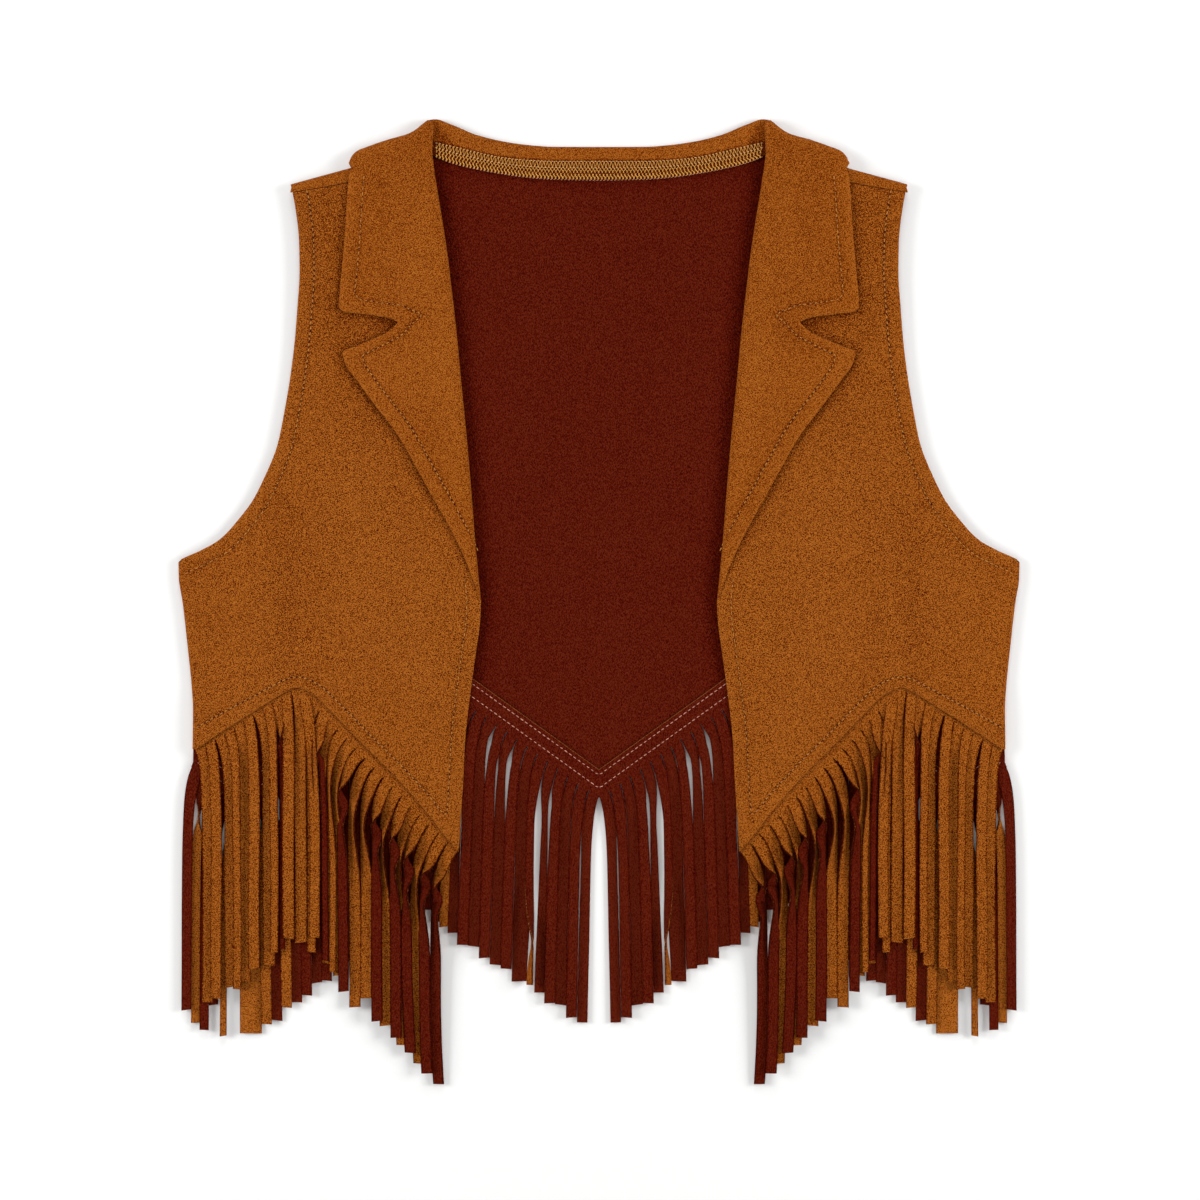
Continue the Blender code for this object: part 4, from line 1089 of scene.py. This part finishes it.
# %% Strip and strands in one skin
RING_FINISHES = (0, 0, 0, 0, 2, 1, 1, 1, 1, 2)
RING_RIMS = (0, 4, 5, 9)
SHARP_ANGLE = math.radians(38)
WELD_REACH = 0.02


def make_comb(name, high, low, counts, z_strip, strand_of, finishes, sides, border_fuzz_and_shade):
    """Build a strip with its strands. finishes are those of the upper face, the lower face and the cuts."""
    vertices, faces, numbers, tones = [], [], [], []
    on_back = counts is BACK_STRANDS

    def add(points, rims=(), depth=0.0):
        vertices.extend(points)
        tones.extend(border_fuzz_and_shade * (k in rims) - depth for k in range(len(points)))
        return list(range(len(vertices) - len(points), len(vertices)))

    def skin(loop, finish):
        faces.append(tuple(loop))
        numbers.append(finish)

    def station(top_point, low_point):
        raw = top_point + (low_point - top_point) * RAW_EDGE / np.linalg.norm(low_point - top_point)
        heights = ((raw, HALF), (low_point, HALF), (low_point, -HALF), (top_point, -HALF))
        return add([(p[0], p[1], z_strip + h) for p, h in heights])

    def cell(old, now, closed=True):
        skin((old[0], old[1], now[1], now[0]), 0)
        skin((old[2], old[3], now[3], now[2]), 1)
        skin((old[3], old[0], now[0], now[3]), 2)
        if closed:
            skin((old[1], old[2], now[2], now[1]), 2)

    number = 0
    previous = station(high[0], low[0])
    if not on_back:
        skin(previous[::-1], 2)
    for k, count in enumerate(counts):
        length = np.linalg.norm(low[k + 1] - low[k])
        slit, border = SLIT * count / length / 2, BORDER * count / length
        for item in range(count):
            steps = (slit, slit + border, 0.5, 1 - slit - border, 1 - slit)
            shares = [(item + step) / count for step in steps]
            tops = [high[k] + share * (high[k + 1] - high[k]) for share in shares]
            lows = [low[k] + share * (low[k + 1] - low[k]) for share in shares]
            posts = [station(top_point, low_point) for top_point, low_point in zip(tops, lows)]
            cell(previous, posts[0])
            for old, now in zip(posts, posts[1:]):
                cell(old, now, False)
            ring = [post[1] for post in posts] + [post[2] for post in posts[::-1]]
            # Painted shade near the root of back strands under the fronts, and painted light on every back
            # strand.
            covered = COVERED_DARK * (on_back and number in UNDER_FRONTS)
            light = on_back * (HIGH_STRAND_LIGHT if number % 2 else LOW_STRAND_LIGHT)
            for s, points in zip(STATIONS, strand_of(number, lows[0], lows[-1], z_strip)):
                dark = covered * float(1 - ease((s - COVERED_TO) / COVERED_OVER))
                dark -= light * float(ease(s / LIGHT_OVER))
                new = add(points, RING_RIMS, dark)
                for p, finish in enumerate(RING_FINISHES):
                    n = (p + 1) % len(RING_FINISHES)
                    skin((ring[p], new[p], new[n], ring[n]), finish)
                ring = new
            for p in range(4):
                skin((ring[9 - p], ring[8 - p], ring[p + 1], ring[p]), 2)
            previous = posts[-1]
            number += 1
        corner = station(high[k + 1], low[k + 1])
        cell(previous, corner)
        previous = corner
    skin(previous, 2)
    made = {}
    points = np.array(vertices)
    for side_name, side in sides:
        if side == 0:
            twin = [tuple(v + len(points) for v in face[::-1]) for face in faces]
            both = np.concatenate([points, points * (-1, 1, 1)])
            piece = add_mesh(name, both, faces + twin, finishes, numbers * 2, {"nap": tones * 2})
            piece = weld_centre(piece)
        else:
            flip = (side < 0) != (high[0][0] > high[-1][0])
            loops = [face[::-1] if flip else face for face in faces]
            piece = add_mesh(name + side_name, points * (side, 1, 1), loops, finishes, numbers, {"nap": tones})
        piece.data.shade_smooth()
        piece.data.set_sharp_from_angle(angle=SHARP_ANGLE)
        made[side_name] = piece
        print(piece.name, len(piece.data.polygons), "faces")
    return made


def weld_centre(piece):
    """Join the two halves of a strip at the centre line."""
    weld = piece.modifiers.new("centre", "WELD")
    weld.merge_threshold = WELD_REACH * MM
    return applied(piece)


# %% Each fringe's strands
BACK_HANG, SIDE_HANG, FRONT_HANG = (0.6, 0.08), (0.9, 0.10), (1.0, 0.085)
SIDE_OFFSET = 0.1
SLIT_GIVE, STRAND_GIVE, GIVE_OVER = 0.12, 0.3, 0.12
BACK_CURL, FRONT_CURL_SPREAD = 0.06, 0.12
FRONT_WAG, WAG_PACE, WAG_OVER = 0.3, 7.5, 0.3
FRONT_PIVOT = -0.9


def heights_of(z_strip, level, sag=0.0):
    """Height of a strand's middle along it."""
    z_level = STRAND_RISE + level * STEP
    return z_strip + (z_level - z_strip) * read_rows(STATIONS, LEVEL_ALONG) - sag * STATIONS ** 4


def settled(left, right, width):
    """Width along a strand, which starts as wide as the cloth between its slits."""
    grow = ease(STATIONS / SETTLED)
    return np.linalg.norm(right - left) * (1 - grow) + width * grow


def back_tip(root):
    """Where a point of the back strip's lower edge would hang to."""
    return (root[0] + read_rows(root[0], BACK_TIP_SHIFT), root[1] - BACK_DROP)


def gap_at(slit, column):
    """How much an open slit takes from a strand beside it, along the strand."""
    taken = np.zeros(len(STATIONS))
    for row in BACK_GAPS:
        if row[0] == slit:
            start, end = row[1], row[2]
            opening = ease((STATIONS - start) / (GAP_OPENS_OVER * (end - start)))
            closing = np.clip((end - STATIONS) / (GAP_CLOSES_OVER * (end - start)), 0, 1)
            taken = row[column] * (opening * closing)
    return taken


def back_strand(number, left, right, z_strip):
    """A back strand: inside the zigzag its sides follow the slits, and those beside the side seam fall free."""
    beside_seam = number - sum(BACK_STRANDS[:-1])
    heights = heights_of(z_strip, number % 2)
    twist_of = twist(BACK_TURNS.get(number), BACK_CURL * math.sin(number * 1.9), number)
    if beside_seam >= 0:
        tip_u, tip_y, width = BACK_SIDE_TIPS[beside_seam]
        line = hang((left + right) / 2, (tip_u, tip_y), *SIDE_HANG)
        return ribbon(line - (SIDE_OFFSET, 0), line + (SIDE_OFFSET, 0), settled(left, right, width), heights,
                      twist_of, 0, number, BACK_SQUEEZE)
    drop = np.array((0, BACK_DROP_SPREAD * math.sin(number * STRAND_WAVE)))
    half_slit = unit(right - left) * (SLIT / 2 - SLIT_GIVE)
    edges = []
    for root, inward in ((left - half_slit, 1), (right + half_slit, -1)):
        line = hang(root, back_tip(root) - drop, *BACK_HANG)
        line[:, 0] += inward * (SLIT_GIVE - STRAND_GIVE * ease(STATIONS / GIVE_OVER))
        edges.append(line)
    edges[0][:, 0] += gap_at(number, 4)
    edges[1][:, 0] -= gap_at(number + 1, 3)
    shown = BACK_TURNS.get(number, (0, 0, 1))[2] < 1
    return ribbon(edges[0], edges[1], None, heights, twist_of, -1 if shown else 0, number,
                  0.0 if shown else BACK_SQUEEZE)


def front_strand(number, left, right, z_strip):
    """A front strand, which curls on its edge where the hem is long and slanted."""
    tip_u, tip_y, width, level, sag = FRONT_TIPS[number]
    hook, bow, curl = (float(read_rows(number, rows)) for rows in (FRONT_HOOK, FRONT_BOW, FRONT_CURL))
    line = hang((left + right) / 2, (tip_u, tip_y), *FRONT_HANG, hook)
    wag = FRONT_WAG * np.sin(WAG_PACE * STATIONS + number * 1.7)
    line[:, 0] += wag * ease(STATIONS / WAG_OVER) * (1 - 0.5 * STATIONS)
    line[:, 0] += bow * 4 * STATIONS * (1 - STATIONS)
    curl += FRONT_CURL_SPREAD * math.sin(number * 2.7)
    side = unit(right - left) * SIDE_OFFSET
    pivot = FRONT_PIVOT * (number > FRONT_STRANDS[0])
    return ribbon(line - side, line + side, settled(left, right, width), heights_of(z_strip, level + 2, sag),
                  twist(FRONT_TURNS.get(number), curl, number), pivot, number)


fringe_back = make_comb("fringe_back_cut", back_high, back_low, BACK_STRANDS, layer(BACK_STRIP_LAYER),
                        back_strand, [reverse_face, front_face, cut_edge], (("both", 0),),
                        BACK_BORDER_FUZZ_AND_SHADE)["both"]
fringe_front = make_comb("fringe_front_cut_", front_high, front_low, FRONT_STRANDS, layer(FRONT_LAYER),
                         front_strand, [front_face, reverse_face, cut_edge], SIDES, FRONT_BORDER_FUZZ_AND_SHADE)

# %% [markdown]
# ## Stitches
#
# A topstitch is a thousand small beads of thread along a line, so Geometry Nodes place it: the line is sampled
# every 3 mm and each point gets a bead turned along the line. The tree has the pitch and the bead's sizes as
# named inputs, and ends in real geometry, because instances would be lost on export.

# %% A tree that sews
SEWING_SEED = 7
SMALLEST_BEAD, LARGEST_BEAD, BEAD_FLATNESS = 0.86, 1.1, 0.8


def new_tree(name, sizes):
    """Start a Geometry Nodes tree with a geometry input and named sizes."""
    tree = bpy.data.node_groups.new(name, "GeometryNodeTree")
    tree.is_modifier = True
    tree.interface.new_socket("Geometry", in_out="INPUT", socket_type="NodeSocketGeometry")
    for label in sizes:
        tree.interface.new_socket(label, in_out="INPUT", socket_type="NodeSocketFloat")
    tree.interface.new_socket("Thread", in_out="INPUT", socket_type="NodeSocketMaterial")
    tree.interface.new_socket("Geometry", in_out="OUTPUT", socket_type="NodeSocketGeometry")
    graph = Graph(tree)
    entry = tree.nodes.new("NodeGroupInput")
    return graph, {socket.name: Value(graph, socket) for socket in entry.outputs if socket.name}


def end_tree(graph, geometry, finish):
    """Make a tree's instances real, give them their thread and send them out."""
    real = graph.node("GeometryNodeRealizeInstances", {}, {0: geometry})
    dressed = graph.node("GeometryNodeSetMaterial", {}, {"Geometry": real, "Material": finish})
    out = graph.tree.nodes.new("NodeGroupOutput")
    graph.tree.links.new(dressed.socket, out.inputs[0])
    return graph.tree


def numbers_of(sockets):
    """The sockets that a node with several kinds of them uses for numbers."""
    return [socket for socket in sockets if socket.type == "VALUE" and socket.enabled]


def sewing_tree():
    """Beads of thread along curves."""
    graph, given = new_tree("topstitch", ["Pitch", "Bead Length", "Bead Radius"])
    points = graph.node("GeometryNodeResampleCurve", {"mode": "LENGTH"},
                        {"Curve": given["Geometry"], "Length": given["Pitch"]})
    bead = graph.node("GeometryNodeMeshUVSphere", {}, {"Segments": 8, "Rings": 5, "Radius": 1.0})
    size = graph.node("ShaderNodeCombineXYZ", {}, {0: given["Bead Length"] * 0.5, 1: given["Bead Radius"],
                                                   2: given["Bead Radius"] * BEAD_FLATNESS})
    bead = graph.node("GeometryNodeTransform", {}, {"Geometry": bead, "Scale": size})
    tangent = graph.node("GeometryNodeInputTangent")
    turned = graph.node("FunctionNodeAlignRotationToVector", {"axis": "X"}, {"Vector": tangent})
    uneven = graph.tree.nodes.new("FunctionNodeRandomValue")
    uneven.data_type = "FLOAT"
    for socket, value in zip(numbers_of(uneven.inputs), (SMALLEST_BEAD, LARGEST_BEAD)):
        socket.default_value = value
    uneven.inputs["Seed"].default_value = SEWING_SEED
    wobble = Value(graph, numbers_of(uneven.outputs)[0])
    placed = graph.node("GeometryNodeInstanceOnPoints", {},
                        {"Points": points, "Instance": bead, "Rotation": turned, "Scale": wobble})
    return end_tree(graph, placed, given["Thread"])


sewing = sewing_tree()
print("tree", sewing.name, "with", len(sewing.nodes), "nodes")

# %% [markdown]
# Before a line can be sewn it has to lie on its cloth. The height of a line's point is taken from the nearest
# points of the grid that made the cloth, so stitches follow every dent and crease.

# %% Lay lines on a cloth and sew them
def laid_on(line, grid, above):
    """Give a line in the plan the height of a cloth, plus a little."""
    points = grid[~np.isnan(grid[..., 2])]
    gaps = np.hypot(line[:, None, 0] - points[None, :, 0], line[:, None, 1] - points[None, :, 1])
    nearest = np.argsort(gaps, axis=1)[:, :4]
    weight = 1 / (np.take_along_axis(gaps, nearest, 1) + 0.05)
    z = (points[nearest, 2] * weight).sum(1) / weight.sum(1)
    return np.column_stack([line, z + above])


def evenly(line, step):
    """Sample a line at even steps, so that its height is read often enough."""
    gone = np.concatenate([[0], np.cumsum(np.linalg.norm(np.diff(line, axis=0), axis=1))])
    at = np.linspace(0, gone[-1], max(2, int(gone[-1] / step)))
    return np.stack([np.interp(at, gone, line[:, k]) for k in range(line.shape[1])], axis=1)


def line_object(name, lines):
    """A curve object with one open spline for each line of points in millimetres."""
    curve = bpy.data.curves.new(name, "CURVE")
    curve.dimensions = "3D"
    for line in lines:
        spline = curve.splines.new("POLY")
        spline.points.add(len(line) - 1)
        spline.points.foreach_set("co", np.column_stack([line * MM, np.ones(len(line))]).ravel())
    made = bpy.data.objects.new(name, curve)
    bpy.context.scene.collection.objects.link(made)
    return made


def run_tree(made, tree, values):
    """Put a tree on an object, set its inputs by their identifiers, and keep the result as a mesh."""
    modifier = made.modifiers.new(tree.name, "NODES")
    modifier.node_group = tree
    for item in tree.interface.items_tree:
        if item.in_out == "INPUT" and item.name in values:
            modifier[item.identifier] = values[item.name]
    made = applied(made)
    made.data.shade_smooth()
    print(made.name, len(made.data.polygons), "faces")
    return made


PITCH, BEAD_LENGTH, BEAD_RADIUS = 2.9, 2.1, 0.29


def sewn(name, lines, finish, pitch=PITCH, bead=BEAD_LENGTH, radius=BEAD_RADIUS):
    """Sew lines with beads of thread."""
    values = {"Pitch": pitch * MM, "Bead Length": bead * MM, "Bead Radius": radius * MM, "Thread": finish}
    return run_tree(line_object(name, lines), sewing, values)


def both_sides(lines):
    """Lines and their mirror images."""
    return lines + [line * (-1, 1, 1) for line in lines]


LINE_STEP, ON_CLOTH = 2.0, HALF + 0.06
HOLE_LENGTH, HOLE_RADIUS, HOLE_BELOW = 1.5, 0.32, 0.05
front_lines = [laid_on(evenly(line, LINE_STEP), grid, ON_CLOTH) for line, grid in (
    (armhole_stitch, front_points), (hem_stitch, front_points), (lapel_stitch, lapel_points[:len(face)]))]
topstitching = sewn("topstitching", both_sides(front_lines), brown_thread)
# Between the stitches lie dark beads of painted shade, for the shade in the needle holes.
half_pitch = [evenly(line, PITCH / 8)[4:] - (0, 0, HOLE_BELOW) for line in front_lines]
needle_hole_shade = sewn("needle_hole_shade", both_sides(half_pitch), hole_shade, bead=HOLE_LENGTH, radius=HOLE_RADIUS)

# %% Rows that hold the back fringe
UPPER_ROW = 5.7
ROW_ENDS = (0.0, 214.0)
ROW_RADIUS, UNDER_RADIUS = 0.27, 0.24
z_row = layer(BACK_STRIP_LAYER) + HALF + 0.05
fringe_rows = []
for above in (0.0, UPPER_ROW):
    row = evenly(np.array(offset_line(BACK_HEM_CORNERS, above, *ROW_ENDS)), LINE_STEP)
    whole = opened(row[None], MIRROR[:2])[0]
    fringe_rows.append(np.column_stack([whole, np.full(len(whole), z_row)]))
fringe_stitching = sewn("fringe_stitching", fringe_rows, pink_thread, radius=ROW_RADIUS)

# %% Stitches on the underside
UNDER_Z = 0.16
under_lines = [laid_on(evenly(armhole_stitch, LINE_STEP), half[:len(half) - WRAP_TURNS - 1], UNDER_Z - HALF)]
under_rows = [row * (1, 1, 0) + (0, 0, UNDER_Z) for row in fringe_rows]
under_stitching = sewn("underside_stitching", both_sides(under_lines) + under_rows, brown_thread,
                       radius=UNDER_RADIUS)

# %% [markdown]
# ## The overlocked neck seam
#
# An overlock machine binds a raw edge with loops of thread. The band at the back neck shows three rows of
# golden loops with two lines of pale needle stitches, and a thin pink line along its raw edge. A second tree
# bends a line into such loops: it samples the line, swings every point to and fro with a sine, and sweeps a
# thin round profile along the result.

# %% A tree that loops
POINTS_A_LOOP, THREAD_SIDES = 10, 5


def looping_tree():
    """A wave of thread along curves."""
    graph, given = new_tree("overlock", ["Pitch", "Height", "Radius", "Lean"])
    points = graph.node("GeometryNodeResampleCurve", {"mode": "LENGTH"},
                        {"Curve": given["Geometry"], "Length": given["Pitch"] * (1 / POINTS_A_LOOP)})
    tangent = graph.node("GeometryNodeInputTangent")
    across = graph.vector("CROSS_PRODUCT", tangent, (0.0, 0.0, 1.0))
    turn = graph.node("GeometryNodeInputIndex") * (2 * math.pi / POINTS_A_LOOP)
    swing, double, bob = (graph.node("ShaderNodeMath", {"operation": kind}, {0: angle}) for kind, angle in (
        ("SINE", turn), ("SINE", turn * 2.0), ("COSINE", turn)))
    sideways = graph.vector("SCALE", across, swing * given["Height"] * 0.5)
    forwards = graph.vector("SCALE", tangent, double * given["Lean"])
    upwards = graph.node("ShaderNodeCombineXYZ", {}, {2: bob * given["Radius"]})
    moved = graph.vector("ADD", graph.vector("ADD", sideways, forwards), upwards)
    wave = graph.node("GeometryNodeSetPosition", {}, {"Geometry": points, "Offset": moved})
    profile = graph.node("GeometryNodeCurvePrimitiveCircle", {},
                         {"Resolution": THREAD_SIDES, "Radius": given["Radius"]})
    tube = graph.node("GeometryNodeCurveToMesh", {},
                      {"Curve": wave, "Profile Curve": profile, "Fill Caps": True})
    return end_tree(graph, tube, given["Thread"])


looping = looping_tree()
print("tree", looping.name, "with", len(looping.nodes), "nodes")

# %% Overlock the neck seam
LOOP_PITCH = 1.9
# Rows of loops: where they run across the band, how high above the cloth, height, radius and lean.
LOOP_ROWS = [("upper", 0.20, 0.15, 3.4, 0.16, 0.10), ("middle", 0.52, 0.12, 2.6, 0.17, 0.40),
             ("lower", 0.85, 0.05, 2.8, 0.25, 0.50)]
neck_u = np.linspace(0, 87.0, 70)
neck_seam_y, neck_low_y = smooth_line(BACK_NECK, 2)(neck_u), smooth_line(BACK_NECK, 3)(neck_u)


def neck_line(share, above):
    """A line along the neck seam's band, at a share of the way from the seam to the band's lower edge."""
    row = np.column_stack([neck_u, neck_seam_y + share * (neck_low_y - neck_seam_y)])
    row = laid_on(row, neck_half[:FRONT_ROWS], ON_CLOTH + above)
    return opened(row[None], MIRROR)[0]


def looped(name, line, height, radius, lean):
    """Bend a line into loops of golden thread."""
    values = {"Pitch": LOOP_PITCH * MM, "Height": height * MM, "Radius": radius * MM, "Lean": lean * MM,
              "Thread": gold_thread}
    return run_tree(line_object(name, [line]), looping, values)


overlock = [looped("overlock_" + part, neck_line(share, above), *sizes)
            for part, share, above, *sizes in LOOP_ROWS]
overlock += [
    sewn("overlock_needles", [neck_line(0.02, 0.15), neck_line(0.38, 0.3)], pale_thread, LOOP_PITCH, 1.3, 0.26),
    sewn("overlock_edge", [neck_line(1.03, -0.2)], pink_thread, LOOP_PITCH, 1.2, 0.16)]

# %% [markdown]
# ## Camera, floor and light
#
# The photograph looks straight down, so the camera does too, from 1.5 m with a long lens. Two large soft lights
# stand left and right at the same strength, because the photograph's shadows are the same on both sides. Two
# weaker ones stand above the neck and below the fringe, and a pale sky fills the rest.

# %% Camera
PIXEL, PHOTO_WIDTH = 0.535, 1200
LENS, SENSOR = 85.0, 36.0
CENTRE, CLOTH_TOP = (0.54, 0.94), 3.5
camera_data = bpy.data.cameras.new("camera")
camera_data.lens = LENS
camera_data.sensor_width = SENSOR
camera = bpy.data.objects.new("camera", camera_data)
camera_height = CLOTH_TOP + PIXEL * PHOTO_WIDTH * LENS / SENSOR
camera.location = (CENTRE[0] * MM, CENTRE[1] * MM, camera_height * MM)
bpy.context.scene.collection.objects.link(camera)
bpy.context.scene.camera = camera
print("camera at", [round(value, 4) for value in camera.location])

# %% Floor and lights
FLOOR_WHITE, FLOOR_SHADE = (0.90, 0.90, 0.895, 1.0), 0.995
FLOOR_HALF, FLOOR_Z = 2.5, -0.2
LIGHT_SIZE, SKY_STRENGTH = 0.7, 0.34
LIGHTS = [("light_left", 20.0, (-1.5, 0.2, 0.85)), ("light_right", 20.0, (1.5, 0.2, 0.85)),
          ("light_top", 8.0, (0.0, 1.45, 0.95)), ("light_low", 5.0, (0.0, -1.5, 1.0))]
floor_finish, floor_graph = finish_of("pale floor")
speck = floor_graph.noise(floor_graph.place(), 60.0, 2.0)
floor_tone = floor_graph.blend(speck, shade(FLOOR_WHITE, FLOOR_SHADE), FLOOR_WHITE)
connect(floor_graph, floor_tone, 0.7 + speck * 0.05, speck, FLOOR_DEPTH, Specular_IOR_Level=0.2)
floor = add_mesh("floor", np.array([(-1, -1, 0), (1, -1, 0), (1, 1, 0), (-1, 1, 0)]) * FLOOR_HALF / MM
                 + np.array((0, 0, FLOOR_Z)), [(0, 1, 2, 3)], [floor_finish])

for light_name, power, where in LIGHTS:
    data = bpy.data.lights.new(light_name, "AREA")
    data.energy, data.size = power, LIGHT_SIZE
    lamp = bpy.data.objects.new(light_name, data)
    lamp.location = where
    towards = np.zeros(3) - np.array(where)
    lamp.rotation_euler = (math.atan2(math.hypot(towards[0], towards[1]), -towards[2]), 0,
                           math.atan2(towards[1], towards[0]) - math.pi / 2)
    bpy.context.scene.collection.objects.link(lamp)

world = bpy.data.worlds.new("pale sky")
world.use_nodes = True
world.node_tree.nodes["Background"].inputs["Color"].default_value = (1.0, 1.0, 1.0, 1.0)
world.node_tree.nodes["Background"].inputs["Strength"].default_value = SKY_STRENGTH
bpy.context.scene.world = world
bpy.context.scene.view_settings.view_transform = "Standard"
print("lights ready")

# %% [markdown]
# ## Handing the pieces over
#
# Last, every cloth piece is attached to the vest's one body, and the solid of the plain model that it stands
# for is hidden. Stitches are small separate pieces that ride along on the same body.

CUTS = [
    (back_panel, "back_panel", "reverse", 0.450, 0.352, 0.1153, []),
    (front_panels["left"], "front_left", "suede", 0.162, 0.371, 0.0345, ["fringe_front_left"]),
    (front_panels["right"], "front_right", "suede", 0.162, 0.371, 0.0345, ["fringe_front_right"]),
    (lapels["left"], "lapel_left", "suede", 0.085, 0.300, 0.0127, ["front_left"]),
    (lapels["right"], "lapel_right", "suede", 0.085, 0.300, 0.0127, ["front_right"]),
    (collar_back, "collar_back", "suede", 0.180, 0.072, 0.0108, ["back_panel"]),
    (fringe_back, "fringe_back", "reverse", 0.447, 0.210, 0.0592, ["back_panel"]),
    (fringe_front["left"], "fringe_front_left", "suede", 0.140, 0.224, 0.0223, ["fringe_back"]),
    (fringe_front["right"], "fringe_front_right", "suede", 0.140, 0.224, 0.0223, ["fringe_back"])]
for piece, node, slot, width, length, area, rests_on in CUTS:
    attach(piece, "root")
    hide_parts(node)
for piece, node, slot, width, length, area, rests_on in CUTS:
    below = [other[0] for other in CUTS if other[1] in rests_on]
for piece in [topstitching, needle_hole_shade, fringe_stitching, under_stitching] + overlock:
    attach(piece, "root")
print("declared", len(CUTS), "cloth pieces")
